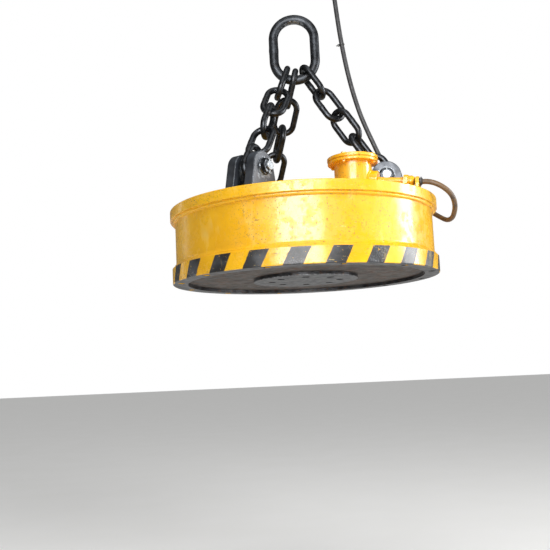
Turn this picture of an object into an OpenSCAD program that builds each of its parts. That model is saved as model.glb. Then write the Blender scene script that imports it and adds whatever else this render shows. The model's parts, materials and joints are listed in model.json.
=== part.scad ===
/* [Magnet] */
// Diameter of the top plate, whose edge is the flange
plate_d = 1100; // [1080:2:1140]
// Thickness of the top plate
plate_t = 40; // [30:1:50]
// Diameter of the drum wall
drum_d = 1060; // [1050:2:1064]
// Wall thickness of the drum
drum_wall = 32; // [28:1:36]
// Diameter of the outer pole ring, which carries the striped band
ring_d = 1092; // [1080:2:1100]
// Depth of the outer pole ring's inner edge
ring_in_d = 970; // [960:2:980]
// Height of the drum from the top plate's upper face to the pole face
magnet_h = 297; // [285:1:320]
// Height of the outer pole ring
ring_h = 62; // [55:1:75]
// Height of the tapered shoulder above the pole ring
shoulder_h = 20; // [15:1:30]
// Diameter of the centre core
core_d = 380; // [360:2:390]
// Diameter of the centre pole shoe
shoe_d = 430; // [420:2:440]
// Thickness of the centre pole shoe
shoe_t = 35; // [30:1:40]

/* [Coil] */
// Inner diameter of the coil
coil_in_d = 430; // [424:2:440]
// Outer diameter of the coil
coil_out_d = 940; // [900:2:944]
// Height of one of the three coil sections
section_h = 54; // [48:1:55]
// Thickness of each insulating separator
separator_t = 4; // [3:1:5]
// Thickness of the non-magnetic bottom plate
bottom_t = 18; // [14:1:20]

/* [Lugs] */
// Radius of the circle on which the three lugs stand
lug_ring_r = 353; // [345:1:360]
// Angle of the first lug, seen from above
lug_turn = -2.5; // [-6:0.5:2]
// Height of the lug pins above the top plate
pin_h = 110; // [106:1:120]
// Diameter of a lug pin
pin_d = 50; // [44:1:50]
// Radial running clearance of a pin in its lug
pin_play = 0.05; // [0.02:0.01:0.1]
// Gap between the two cheeks of a lug
cheek_gap = 50; // [46:1:54]
// Thickness of a cheek
cheek_t = 40; // [34:1:42]
// Width of a cheek at its foot
cheek_w = 170; // [150:2:180]
// Radius of a cheek's rounded top
cheek_r = 62; // [56:1:64]

/* [Sling] */
// Height from the top plate up to the centre of the master link's lower bar
sling_h = 568; // [560:1:580]
// Bar diameter of the master link
master_bar = 40; // [38:1:42]
// Clear width inside the master link
master_in_w = 136; // [130:2:150]
// Clear height inside the master link
master_in_h = 232; // [220:2:250]
// Wire diameter of a chain link
link_wire = 26; // [24:1:26]
// Clear width inside a chain link
link_in_w = 58; // [58:1:62]
// Gap left between two links, and between the last link and its pin
link_gap = 1; // [0.8:0.1:1.5]
// Gap left between the first link and the master link's bar
bar_gap = 5; // [4.8:0.1:6]

/* [Terminal turret] */
// Outer diameter of the turret's wall
turret_d = 148; // [140:2:150]
// Diameter of the lid
lid_d = 200; // [196:2:206]
// Height of the turret's rim flange above the top plate
turret_h = 145; // [140:1:170]
// Number of lid bolts
lid_bolt_n = 4; // [4:1:10]
// Outer diameter of the conduit
conduit_d = 27; // [24:1:30]
// Height of the conduit's axis above the top plate, where it meets the turret's axis
conduit_h = 72; // [70:1:76]
// Downward slope of the conduit, in degrees
conduit_fall = 8; // [6:1:9]

/* [Cable] */
// Diameter of the feed cable
cable_d = 20; // [18:1:22]

/* [Hidden] */

$fn = 64;
ENAMEL = "gold";
STEEL = "slategray";
ZINC = "gainsboro";
COIL = "silver";
INSULATION = "wheat";
BLACK = "dimgray";

// ---- heights, measured from the hook's seat in the master link ----
master_r = (master_in_w + master_bar) / 2;
bar_z = -master_in_h - master_bar / 2;
plate_z = bar_z - sling_h;
face_z = plate_z - magnet_h;
under_z = plate_z - plate_t;
ring_z = face_z + ring_h;
shell_in_r = drum_d / 2 - drum_wall;
pin_z = plate_z + pin_h;

// ---- legs: where each first link sits along the lower bar, and how each leg turns ----
LINKS = 5;
seat_x = [51, -10, -48];
// The first and last links of leg a stand a little off square to what they hang on.
off_square = [12, 0, 0];
// Each pin's nut is on the side of its lug that faces the front.
nut_side = [-1, 1, 1];
link_r = (link_in_w + link_wire) / 2;

function unit(v) = v / norm(v);
function across(v, axis) = unit(v - axis * (v * axis));
function turned(v, axis, angle) = v * cos(angle) + cross(axis, v) * sin(angle);
function lug_angle(k) = lug_turn + 120 * k;
function lug_tangent(k) = [-sin(lug_angle(k)), cos(lug_angle(k)), 0];
function pin_at(k) = [lug_ring_r * cos(lug_angle(k)), lug_ring_r * sin(lug_angle(k)), pin_z];
// The lower end of the master link is a half circle, so a seat off its middle is higher.
function bar_rise(k) = master_r - sqrt(master_r * master_r - seat_x[k] * seat_x[k]);
function seat_at(k) = [seat_x[k], 0, bar_z + bar_rise(k)];
function bar_tangent(k) = [sqrt(master_r * master_r - seat_x[k] * seat_x[k]), 0, seat_x[k]] / master_r;
function leg_dir(k) = unit(pin_at(k) - seat_at(k));
function leg_span(k) = norm(pin_at(k) - seat_at(k));
// Clear length inside a link, so that five of them fill the leg from the bar to the pin.
function link_in_l(k) = (leg_span(k) + master_bar / 2 + pin_d / 2 + bar_gap
    + LINKS * link_gap) / LINKS;
function first_normal(k) = across(bar_tangent(k), leg_dir(k));
function last_normal(k) = across(lug_tangent(k), leg_dir(k));
// Angle from square on the bar to square on the pin, taken the short way round.
function raw_twist(k) = atan2(last_normal(k) * cross(leg_dir(k), first_normal(k)),
    last_normal(k) * first_normal(k));
function leg_twist(k) = raw_twist(k) > 90 ? raw_twist(k) - 180
    : raw_twist(k) < -90 ? raw_twist(k) + 180 : raw_twist(k);
function first_turn(k) = sign(leg_twist(k)) * off_square[k];
function link_turn(k, i) = first_turn(k)
    + (leg_twist(k) - 2 * first_turn(k)) * i / (LINKS - 1) + 90 * (i % 2);
function link_normal(k, i) = turned(first_normal(k), leg_dir(k), link_turn(k, i));
function link_centre(k, i) = seat_at(k) + leg_dir(k) * (
    (link_in_l(k) + link_wire) / 2 - master_bar / 2 - link_wire / 2 - bar_gap
    + i * (link_in_l(k) - link_gap));

// ---- terminal turret, conduit and rim bracket ----
turret_x = 208;
turret_y = -190;
conduit_turn = -16;
conduit_from = 98;
gland_from = 196;
bracket_from = 242;
bracket_t = 14;
bushing_to = 270;
hex_clear = 5.5;
fitting_gap = 3;
turret_bore_r = turret_d / 2 - 12;
ledge_h = 84;
board_t = 12;
rim_t = 10;
gasket_t = 3;
lid_t = 13;
lid_pcd_r = 86;
lid_bolt_start = -101;
lid_bolt_d = 10;
lid_hole_d = 11;
lid_flats = 16;
lid_head_t = 6;
lid_nut_t = 6;
lid_tail = 9;
lid_raise = 3;
lid_raise_r = 70;
lid_top_r = 64;
lid_ease = 4;

// ---- feed cable: from the bushing, round outside the rim, back over it and up ----
// Heights in this list are above the top plate.
ROUTE = [
    [466, -264, 34], [482, -269, 32], [502, -274, 26], [521, -276, 17], [541, -273, 5],
    [560, -264, -9], [577, -245, -25], [590, -213, -42], [599, -168, -58], [606, -95, -71],
    [608, -40, -73], [606, 15, -69], [601, 62, -58], [590, 104, -40], [572, 138, -18],
    [549, 161, 2], [522, 172, 17], [494, 172, 38], [466, 164, 66], [438, 150, 100],
    [412, 135, 136], [387, 118, 172], [363, 104, 210], [341, 94, 252], [320, 88, 302],
    [297, 85, 360], [273, 85, 430], [252, 85, 510], [235, 85, 590], [220, 85, 680],
    [207, 85, 780], [198, 85, 870], [190, 85, 965]
];
cable_sides = 10;
rings_per_span = 2;
tie_at = [210, 85, 755];
plug_l = 78;

// =====================================================================
// Shapes used by several pieces
// =====================================================================

// Stands its children in the frame with columns x, y, z and its origin at p.
module placed(x, y, z, p) {
    multmatrix([
        [x[0], y[0], z[0], p[0]],
        [x[1], y[1], z[1], p[1]],
        [x[2], y[2], z[2], p[2]]
    ]) children();
}

// Round bar bent into an oblong ring in the XY plane, long side along Y.
module oblong(bar, in_w, in_l) {
    r = (in_w + bar) / 2;
    straight = in_l - in_w;
    for (side = [0, 1]) rotate([0, 0, 180 * side]) {
        translate([0, straight / 2, 0]) rotate_extrude(angle = 180) translate([r, 0]) circle(d = bar);
        translate([r, -straight / 2, 0]) rotate([-90, 0, 0]) cylinder(d = bar, h = straight);
    }
}

// Flat ring standing on z.
module ring(out_d, in_d, h, z) {
    translate([0, 0, z]) difference() {
        cylinder(d = out_d, h = h, $fn = 128);
        translate([0, 0, -1]) cylinder(d = in_d, h = h + 2, $fn = 128);
    }
}

// Children repeated n times round the Z axis at radius r.
module around(n, r, start = 0) {
    for (i = [0 : n - 1]) rotate([0, 0, start + 360 * i / n]) translate([r, 0, 0]) children();
}

// Hexagon prism by its width across the flats.
module hex(flats, h) {
    cylinder(d = flats / cos(30), h = h, $fn = 6);
}

// Sets its children in the lug's own frame: X outwards, Y along the pin, Z up.
module at_lug(k) {
    rotate([0, 0, lug_angle(k)]) translate([lug_ring_r, 0, plate_z]) children();
}

// Sets its children in the pin's own frame: Z along the pin, towards its nut.
module at_pin(k) {
    at_lug(k) translate([0, 0, pin_h]) rotate([-90 * nut_side[k], 0, 0]) children();
}

// Sets its children in the turret's frame, standing on the top plate.
module at_turret() {
    translate([turret_x, turret_y, plate_z]) rotate([0, 0, conduit_turn]) children();
}

// Within the turret's frame, sets its children with Z along the conduit, from the turret's axis.
module conduit_line() {
    translate([0, 0, conduit_h]) rotate([0, 90 + conduit_fall, 0]) children();
}

// Sets its children with Z along the conduit, from the turret's axis outwards.
module at_conduit() {
    at_turret() conduit_line() children();
}

// =====================================================================
// Sling
// =====================================================================

module master_link() {
    color(STEEL) translate([0, 0, -master_in_h / 2]) rotate([90, 0, 0])
        oblong(master_bar, master_in_w, master_in_h);
}

module chain_link(k, i) {
    n = link_normal(k, i);
    u = leg_dir(k);
    color(STEEL) placed(cross(u, n), u, n, link_centre(k, i))
        oblong(link_wire, link_in_w, link_in_l(k));
}

// =====================================================================
// Lugs and pins
// =====================================================================

pad_t = 12;
pad_l = 200;
pad_w = 160;
pin_bore_d = pin_d + 2 * pin_play;
// Point where the straight edge from the foot's corner meets the rounded top.
foot_v = [cheek_w / 2, pad_t - pin_h];
foot_a = atan2(foot_v[1], foot_v[0]) + acos(cheek_r / norm(foot_v));
touch = [cheek_r * cos(foot_a), pin_h + cheek_r * sin(foot_a)];

module cheek_outline() {
    translate([0, pin_h]) circle(r = cheek_r);
    polygon([[-cheek_w / 2, pad_t], [cheek_w / 2, pad_t], touch, [0, pin_h], [-touch[0], touch[1]]]);
}

module lug(k) {
    color(STEEL) at_lug(k) difference() {
        union() {
            translate([-pad_l / 2, -pad_w / 2, 0]) cube([pad_l, pad_w, pad_t]);
            for (side = [-1, 1]) translate([0, side * (cheek_gap + cheek_t) / 2 + cheek_t / 2, 0])
                rotate([90, 0, 0]) linear_extrude(cheek_t) cheek_outline();
        }
        translate([0, 0, pin_h]) rotate([90, 0, 0])
            cylinder(d = pin_bore_d, h = 2 * cheek_t + cheek_gap + 20, center = true);
    }
}

lug_half = cheek_gap / 2 + cheek_t;
pin_slack = 0.5;
pin_head_d = 74;
pin_head_t = 14;
stem_d = 36;
stem_l = 30;
nut_flange_d = 66;
nut_flange_t = 6;
nut_flats = 55;
nut_t = 15;
split_d = 5;
split_out = 7;
split_z = lug_half + pin_slack + nut_flange_t + nut_t + 4;

module lug_pin(k) {
    color(BLACK) at_pin(k) difference() {
        union() {
            translate([0, 0, -lug_half - pin_slack]) cylinder(d = pin_d, h = 2 * (lug_half + pin_slack));
            translate([0, 0, -lug_half - pin_slack - pin_head_t]) cylinder(d = pin_head_d, h = pin_head_t);
            translate([0, 0, lug_half + pin_slack]) cylinder(d = stem_d, h = stem_l);
        }
        translate([0, 0, split_z]) rotate([90, 0, 0]) cylinder(d = split_d, h = stem_d + 4, center = true);
    }
}

module pin_nut(k) {
    color(ZINC) at_pin(k) translate([0, 0, lug_half + pin_slack]) difference() {
        union() {
            cylinder(d = nut_flange_d, h = nut_flange_t);
            translate([0, 0, nut_flange_t]) hex(nut_flats, nut_t);
        }
        translate([0, 0, -1]) cylinder(d = stem_d, h = nut_t + nut_flange_t + 2);
    }
}

module split_pin(k) {
    color(ZINC) at_pin(k) translate([0, 0, split_z]) {
        rotate([90, 0, 0]) cylinder(d = split_d, h = stem_d + 2 * split_out, center = true);
        translate([0, stem_d / 2 + split_out + split_d, 0])
            rotate_extrude() translate([split_d, 0]) circle(d = split_d - 1);
    }
}

// =====================================================================
// Magnet body
// =====================================================================

lead_hole_d = 60;
weld_leg = 12;

module top_plate() {
    color(ENAMEL) difference() {
        translate([0, 0, under_z]) cylinder(d = plate_d, h = plate_t, $fn = 128);
        translate([turret_x, turret_y, under_z - 1]) cylinder(d = lead_hole_d, h = plate_t + 2);
    }
}

ring_bolt_n = 12;
ring_bolt_start = 15;
ring_bolt_r = drum_d / 2 - drum_wall / 2;
ring_bolt_d = 16;
ring_head_d = 26;
ring_head_t = 16;
ring_bolt_l = 60;
head_in = 4;
ring_key = 14;
ring_key_t = 9;

// Drum wall with the weld under the flange and the tapered shoulder over the pole ring.
module drum_shell() {
    color(ENAMEL) difference() {
        rotate_extrude($fn = 128) polygon([
            [shell_in_r, ring_z], [ring_d / 2 - 4, ring_z],
            [drum_d / 2, ring_z + shoulder_h],
            [drum_d / 2, under_z - weld_leg], [drum_d / 2 + weld_leg, under_z],
            [shell_in_r, under_z]
        ]);
        around(ring_bolt_n, ring_bolt_r, ring_bolt_start) translate([0, 0, ring_z - 1])
            cylinder(d = ring_bolt_d, h = ring_bolt_l - ring_h + ring_head_t + 6);
    }
}

module pole_ring() {
    color(ENAMEL) difference() {
        ring(ring_d, ring_in_d, ring_h, face_z);
        around(ring_bolt_n, ring_bolt_r, ring_bolt_start) translate([0, 0, face_z - 1]) {
            cylinder(d = ring_bolt_d, h = ring_h + 2);
            cylinder(d = ring_head_d + 2, h = ring_head_t + head_in + 1);
        }
    }
}

module ring_bolts() {
    color(ZINC) around(ring_bolt_n, ring_bolt_r, ring_bolt_start) translate([0, 0, face_z + head_in]) {
        difference() {
            cylinder(d = ring_head_d, h = ring_head_t);
            translate([0, 0, -1]) hex(ring_key, ring_key_t);
        }
        translate([0, 0, ring_head_t]) cylinder(d = ring_bolt_d, h = ring_bolt_l);
    }
}

shoe_bolt_n = 8;
shoe_bolt_r = 140;
shoe_bolt_d = 20;
shoe_head_d = 30;
shoe_head_t = 18;
shoe_bolt_l = 50;
shoe_key = 17;
shoe_key_t = 11;

module core() {
    color(STEEL) difference() {
        translate([0, 0, face_z + shoe_t]) cylinder(d = core_d, h = magnet_h - plate_t - shoe_t, $fn = 128);
        around(shoe_bolt_n, shoe_bolt_r) translate([0, 0, face_z + shoe_t - 1])
            cylinder(d = shoe_bolt_d, h = shoe_bolt_l);
    }
}

module pole_shoe() {
    color(STEEL) difference() {
        translate([0, 0, face_z]) cylinder(d = shoe_d, h = shoe_t, $fn = 128);
        around(shoe_bolt_n, shoe_bolt_r) translate([0, 0, face_z - 1]) {
            cylinder(d = shoe_bolt_d, h = shoe_t + 2);
            cylinder(d = shoe_head_d + 2, h = shoe_head_t + head_in + 1);
        }
    }
}

module shoe_bolts() {
    color(ZINC) around(shoe_bolt_n, shoe_bolt_r) translate([0, 0, face_z + head_in]) {
        difference() {
            cylinder(d = shoe_head_d, h = shoe_head_t);
            translate([0, 0, -1]) hex(shoe_key, shoe_key_t);
        }
        translate([0, 0, shoe_head_t]) cylinder(d = shoe_bolt_d, h = shoe_bolt_l);
    }
}

// The bottom plate lies above the pole face, so loads never rub on it.
bottom_recess = 14;
bottom_z = face_z + bottom_recess;

module bottom_plate() {
    color("darkkhaki") ring(ring_in_d, shoe_d, bottom_t, bottom_z);
}

// =====================================================================
// Coil, inside the drum
// =====================================================================

bottom_gap = 6;
coil_z = bottom_z + bottom_t + bottom_gap;
section_step = section_h + separator_t;
top_gap = 4;

module coil_section(n) {
    color(COIL) ring(coil_out_d, coil_in_d, section_h, coil_z + separator_t + n * section_step);
}

module coil_separators() {
    color(INSULATION) for (n = [0 : 3])
        ring(coil_out_d, coil_in_d, separator_t, coil_z + n * section_step);
}

module core_sleeve() {
    color(INSULATION) ring(coil_in_d, core_d + 2, under_z - coil_z - top_gap, coil_z);
}

// The potting fills round the coil, and steps in where the pole ring reaches further inwards.
module coil_potting() {
    color("sienna") {
        ring(ring_in_d - 1, coil_out_d, ring_z - coil_z, coil_z);
        ring(2 * shell_in_r - 1, coil_out_d, under_z - ring_z - top_gap, ring_z);
    }
}

// =====================================================================
// Terminal turret, conduit and rim bracket
// =====================================================================

boss_d = 76;
foot_flange_d = 184;
foot_flange_t = 12;

module turret_body() {
    color(ENAMEL) at_turret() difference() {
        union() {
            cylinder(d = foot_flange_d, h = foot_flange_t);
            cylinder(d = turret_d, h = turret_h);
            translate([0, 0, turret_h - rim_t]) cylinder(d = lid_d - 3, h = rim_t);
            conduit_line() cylinder(d = boss_d, h = conduit_from);
        }
        translate([0, 0, ledge_h]) cylinder(r = turret_bore_r, h = turret_h);
        translate([0, 0, -1]) cylinder(r = turret_bore_r - 8, h = turret_h);
        conduit_line() cylinder(d = conduit_d - 6, h = conduit_from + 2);
        around(lid_bolt_n, lid_pcd_r, lid_bolt_start) translate([0, 0, turret_h - rim_t - 1])
            cylinder(d = lid_hole_d, h = rim_t + 2);
    }
}

module lid_gasket() {
    color(BLACK) at_turret() translate([0, 0, turret_h]) difference() {
        cylinder(d = lid_d - 7, h = gasket_t);
        translate([0, 0, -1]) cylinder(r = turret_bore_r, h = gasket_t + 2);
        around(lid_bolt_n, lid_pcd_r, lid_bolt_start) translate([0, 0, -1]) cylinder(d = lid_hole_d, h = gasket_t + 2);
    }
}

// Lid with a low raised middle and a rounded-off upper edge.
module turret_lid() {
    color(ENAMEL) at_turret() translate([0, 0, turret_h + gasket_t]) difference() {
        rotate_extrude() polygon([
            [0, 0], [lid_d / 2, 0], [lid_d / 2, lid_t - lid_ease], [lid_d / 2 - lid_ease, lid_t],
            [lid_raise_r, lid_t], [lid_top_r, lid_t + lid_raise], [0, lid_t + lid_raise]
        ]);
        around(lid_bolt_n, lid_pcd_r, lid_bolt_start) translate([0, 0, -1]) cylinder(d = lid_hole_d, h = lid_t + 2);
    }
}

stack_t = rim_t + gasket_t + lid_t;

module lid_bolts() {
    color(ENAMEL) at_turret() around(lid_bolt_n, lid_pcd_r, lid_bolt_start) {
        translate([0, 0, turret_h - rim_t - lid_tail]) cylinder(d = lid_bolt_d, h = stack_t + lid_tail);
        translate([0, 0, turret_h + gasket_t + lid_t]) hex(lid_flats, lid_head_t);
    }
}

module lid_nuts() {
    color(ENAMEL) at_turret() around(lid_bolt_n, lid_pcd_r, lid_bolt_start)
        translate([0, 0, turret_h - rim_t - lid_nut_t]) difference() {
            hex(lid_flats, lid_nut_t);
            translate([0, 0, -1]) cylinder(d = lid_bolt_d, h = lid_nut_t + 2);
        }
}

stud_y = 22;
stud_d = 12;
stud_below = 14;
stud_l = 60;
stud_flats = 19;
stud_nut_t = 9;

module terminal_board() {
    color(INSULATION) at_turret() difference() {
        translate([0, 0, ledge_h]) cylinder(r = turret_bore_r - 0.5, h = board_t);
        for (side = [-1, 1]) translate([0, side * stud_y, ledge_h - 1])
            cylinder(d = stud_d, h = board_t + 2);
    }
}

module terminal_studs() {
    color("goldenrod") at_turret() for (side = [-1, 1]) translate([0, side * stud_y, ledge_h]) {
        translate([0, 0, -stud_below]) cylinder(d = stud_d, h = stud_l);
        translate([0, 0, board_t]) hex(stud_flats, stud_nut_t);
        translate([0, 0, -stud_nut_t]) hex(stud_flats, stud_nut_t);
    }
}

lead_d = 9;
lead_below = 6;
ferrule_d = 15;
ferrule_l = 16;

// Two leads from the coil, through the top plate, up to the studs, with a ferrule on each.
module coil_leads() {
    lead_top = ledge_h - stud_below;
    color("firebrick") at_turret() for (side = [-1, 1]) translate([0, side * stud_y, 0]) {
        translate([0, 0, -plate_t - lead_below])
            cylinder(d = lead_d, h = plate_t + lead_below + lead_top - ferrule_l);
        translate([0, 0, lead_top - ferrule_l]) cylinder(d = ferrule_d, h = ferrule_l);
    }
}

module conduit() {
    color(ENAMEL) at_conduit() difference() {
        translate([0, 0, conduit_from]) cylinder(d = conduit_d, h = gland_from - conduit_from);
        translate([0, 0, conduit_from - 1]) cylinder(d = conduit_d - 6, h = gland_from - conduit_from + 2);
    }
}

gland_flats = 44;
gland_hex_t = 20;
gland_d = 44;
gland_barrel_t = 14;
gland_nose_d = 34;

module conduit_gland() {
    cone_from = gland_from + gland_hex_t + gland_barrel_t;
    color(ENAMEL) at_conduit() difference() {
        union() {
            translate([0, 0, gland_from]) hex(gland_flats, gland_hex_t);
            translate([0, 0, gland_from + gland_hex_t]) cylinder(d = gland_d, h = gland_barrel_t);
            translate([0, 0, cone_from])
                cylinder(d1 = gland_d, d2 = gland_nose_d, h = bracket_from - fitting_gap - cone_from);
        }
        translate([0, 0, gland_from - 1]) cylinder(d = conduit_d - 6, h = bracket_from - gland_from + 2);
    }
}

bracket_w = 72;
bracket_h = 56;
bracket_bore_d = 26;
tab_l = 46;
tab_t = 10;
tab_bolt_d = 12;
tab_bolt_y = 24;
tab_head_flats = 18;
tab_head_t = 8;

// Angle bracket near the rim: an upright with a rounded top, on a foot bolted to the top plate.
module rim_bracket() {
    color(ENAMEL) at_turret() difference() {
        union() {
            translate([bracket_from, 0, bracket_h - bracket_w / 2]) rotate([0, 90, 0])
                cylinder(d = bracket_w, h = bracket_t);
            translate([bracket_from, -bracket_w / 2, 0])
                cube([bracket_t, bracket_w, bracket_h - bracket_w / 2]);
            translate([bracket_from - tab_l, -bracket_w / 2, 0]) cube([tab_l, bracket_w, tab_t]);
        }
        translate([bracket_from - 1, -bracket_w / 2, -bracket_w]) cube([bracket_t + 2, bracket_w, bracket_w]);
        conduit_line() translate([0, 0, bracket_from - 10])
            cylinder(d = bracket_bore_d, h = bracket_t + 20);
        for (side = [-1, 1]) translate([bracket_from - tab_l / 2, side * tab_bolt_y, -1])
            cylinder(d = tab_bolt_d, h = tab_t + 2);
    }
}

module bracket_bolts() {
    color(ZINC) at_turret() for (side = [-1, 1])
        translate([bracket_from - tab_l / 2, side * tab_bolt_y, 0]) {
            cylinder(d = tab_bolt_d, h = tab_t);
            translate([0, 0, tab_t]) hex(tab_head_flats, tab_head_t);
        }
}

sleeve_d = bracket_bore_d - 0.2;
bushing_flats = 34;
bushing_hex_t = 4;
nose_d = 30;

// The conduit slopes, so the hexagon's lowest corner is what stands nearest to the bracket.
module outlet_bushing() {
    nut_from = bracket_from + bracket_t + hex_clear;
    nose_from = nut_from + bushing_hex_t;
    color(BLACK) at_conduit() {
        translate([0, 0, bracket_from]) cylinder(d = sleeve_d, h = nut_from - bracket_from);
        translate([0, 0, nut_from]) hex(bushing_flats, bushing_hex_t);
        translate([0, 0, nose_from]) cylinder(d1 = nose_d, d2 = cable_d + 4, h = bushing_to - nose_from);
    }
}

// =====================================================================
// Feed cable and its plug
// =====================================================================

ROUTE_Z = [for (p = ROUTE) [p[0], p[1], p[2] + plate_z]];
SPANS = len(ROUTE_Z) - 1;

// Smooth curve through the route's points (a Catmull-Rom spline).
function bend(p, q, r, s, t) = 0.5 * (2 * q + (r - p) * t + (2 * p - 5 * q + 4 * r - s) * t * t
    + (3 * q - p - 3 * r + s) * t * t * t);
function on_span(i, t) = bend(ROUTE_Z[max(i - 1, 0)], ROUTE_Z[i], ROUTE_Z[i + 1],
    ROUTE_Z[min(i + 2, SPANS)], t);
CENTRES = concat(
    [for (i = [0 : SPANS - 1]) for (j = [0 : rings_per_span - 1]) on_span(i, j / rings_per_span)],
    [ROUTE_Z[SPANS]]);
LAST = len(CENTRES) - 1;
TANGENTS = [for (i = [0 : LAST]) unit(CENTRES[min(i + 1, LAST)] - CENTRES[max(i - 1, 0)])];

// Carries a side direction along the curve with no twist.
function carried(i, side) = i > LAST ? []
    : let (s = across(side, TANGENTS[i])) concat([s], carried(i + 1, s));

module cable() {
    sides = carried(0, [0, 0, 1]);
    m = cable_sides;
    points = [for (i = [0 : LAST]) for (j = [0 : m - 1])
        let (a = 360 * j / m)
        CENTRES[i] + (sides[i] * cos(a) + cross(TANGENTS[i], sides[i]) * sin(a)) * cable_d / 2];
    walls = [for (i = [0 : LAST - 1]) for (j = [0 : m - 1])
        let (a = i * m + j, b = i * m + (j + 1) % m)
        each [[a, b + m, b], [a, a + m, b + m]]];
    first_cap = [[for (j = [0 : m - 1]) j]];
    last_cap = [[for (j = [0 : m - 1]) LAST * m + m - 1 - j]];
    color(BLACK) polyhedron(points, concat(walls, first_cap, last_cap));
}

top_end = ROUTE_Z[SPANS];
top_dir = TANGENTS[LAST];

// Sets its children with Z along the cable's upper end.
module at_top_end() {
    side = across([0, 1, 0], top_dir);
    placed(side, cross(top_dir, side), top_dir, top_end) children();
}

tie_w = 6;
tie_t = 2.5;
tie_head = [10, 9, 12];

module cable_tie() {
    at = [tie_at[0], tie_at[1], tie_at[2] + plate_z];
    along = unit(ROUTE_Z[SPANS - 2] - ROUTE_Z[SPANS - 4]);
    side = across([0, 1, 0], along);
    color(BLACK) placed(side, cross(along, side), along, at) {
        translate([0, 0, -tie_w / 2]) difference() {
            cylinder(d = cable_d + 2 + 2 * tie_t, h = tie_w);
            translate([0, 0, -1]) cylinder(d = cable_d + 2, h = tie_w + 2);
        }
        translate([-tie_head[0] / 2, cable_d / 2 + 3, -tie_head[2] / 2]) cube(tie_head);
    }
}

grip_l = 46;
collar_l = 12;
collar_d = cable_d + 22;
ring_nut_d = 62;
ring_nut_l = 22;
plug_d = 54;
plug_flange_d = 64;
plug_flange_t = 10;
plug_flange_at = 20;
socket_d = 42;
socket_l = 30;

module cable_grip() {
    color(BLACK) at_top_end() {
        cylinder(d1 = cable_d + 8, d2 = collar_d, h = grip_l - collar_l);
        translate([0, 0, grip_l - collar_l]) cylinder(d = collar_d, h = collar_l);
    }
}

module plug_ring() {
    color(ZINC) at_top_end() translate([0, 0, grip_l]) cylinder(d = ring_nut_d, h = ring_nut_l, $fn = 12);
}

module plug_body() {
    color(STEEL) at_top_end() translate([0, 0, grip_l + ring_nut_l]) difference() {
        union() {
            cylinder(d = plug_d, h = plug_l);
            translate([0, 0, plug_flange_at]) cylinder(d = plug_flange_d, h = plug_flange_t);
        }
        translate([0, 0, plug_l - socket_l]) cylinder(d = socket_d, h = socket_l + 1);
    }
}

// =====================================================================
// Nodes
// =====================================================================

master_link();
chain_link(0, 0);  // leg_a_link_1
chain_link(0, 1);  // leg_a_link_2
chain_link(0, 2);  // leg_a_link_3
chain_link(0, 3);  // leg_a_link_4
chain_link(0, 4);  // leg_a_link_5
chain_link(1, 0);  // leg_b_link_1
chain_link(1, 1);  // leg_b_link_2
chain_link(1, 2);  // leg_b_link_3
chain_link(1, 3);  // leg_b_link_4
chain_link(1, 4);  // leg_b_link_5
chain_link(2, 0);  // leg_c_link_1
chain_link(2, 1);  // leg_c_link_2
chain_link(2, 2);  // leg_c_link_3
chain_link(2, 3);  // leg_c_link_4
chain_link(2, 4);  // leg_c_link_5
lug(0);  // lug_a
lug(1);  // lug_b
lug(2);  // lug_c
lug_pin(0);  // pin_a
lug_pin(1);  // pin_b
lug_pin(2);  // pin_c
pin_nut(0);  // pin_nut_a
pin_nut(1);  // pin_nut_b
pin_nut(2);  // pin_nut_c
split_pin(0);  // split_pin_a
split_pin(1);  // split_pin_b
split_pin(2);  // split_pin_c
top_plate();
drum_shell();
pole_ring();
core();
pole_shoe();
bottom_plate();
coil_section(2);  // coil_upper
coil_section(1);  // coil_middle
coil_section(0);  // coil_lower
coil_separators();
core_sleeve();
coil_potting();
shoe_bolts();
ring_bolts();
turret_body();
lid_gasket();
turret_lid();
lid_bolts();
lid_nuts();
terminal_board();
terminal_studs();
coil_leads();
conduit();
conduit_gland();
rim_bracket();
bracket_bolts();
outlet_bushing();
cable();
cable_tie();
cable_grip();
plug_ring();
plug_body();
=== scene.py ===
"""Looks of an electric lifting magnet on a three-leg chain sling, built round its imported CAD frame.

All sizes in the classes are millimetres unless a name ends in _m; meshes are written in metres, in
the frame whose origin is the crane hook's seat in the master link, X right, Y back and Z up.
"""

import json
import logging
from dataclasses import dataclass, field
from enum import Enum

import bmesh
import bpy
import numpy as np
from mathutils import Matrix, Vector

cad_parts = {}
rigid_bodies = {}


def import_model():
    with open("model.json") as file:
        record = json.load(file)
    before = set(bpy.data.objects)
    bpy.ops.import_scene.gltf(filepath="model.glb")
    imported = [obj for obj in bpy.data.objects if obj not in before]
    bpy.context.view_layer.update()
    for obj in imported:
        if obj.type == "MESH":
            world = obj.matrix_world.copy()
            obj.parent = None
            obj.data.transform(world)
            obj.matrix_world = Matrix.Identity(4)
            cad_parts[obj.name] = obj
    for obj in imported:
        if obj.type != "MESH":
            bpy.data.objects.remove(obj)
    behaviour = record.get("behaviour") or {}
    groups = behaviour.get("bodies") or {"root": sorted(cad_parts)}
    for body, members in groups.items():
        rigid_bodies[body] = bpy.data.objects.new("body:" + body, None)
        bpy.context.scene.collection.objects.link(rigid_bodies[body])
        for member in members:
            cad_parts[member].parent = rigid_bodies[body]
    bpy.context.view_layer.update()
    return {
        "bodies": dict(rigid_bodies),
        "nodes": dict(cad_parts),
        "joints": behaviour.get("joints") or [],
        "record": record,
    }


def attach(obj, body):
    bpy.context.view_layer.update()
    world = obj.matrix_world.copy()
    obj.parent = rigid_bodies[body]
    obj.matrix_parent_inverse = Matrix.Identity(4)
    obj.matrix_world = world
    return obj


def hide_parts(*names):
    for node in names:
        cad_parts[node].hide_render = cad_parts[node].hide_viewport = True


LOG = logging.getLogger("lifting_magnet")
MM = 0.001
PLATE_Z = -820.0
MAGNET = "magnet"
WEAR = "wear"
SMOOTH_ANGLE = np.radians(38.0)


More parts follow.
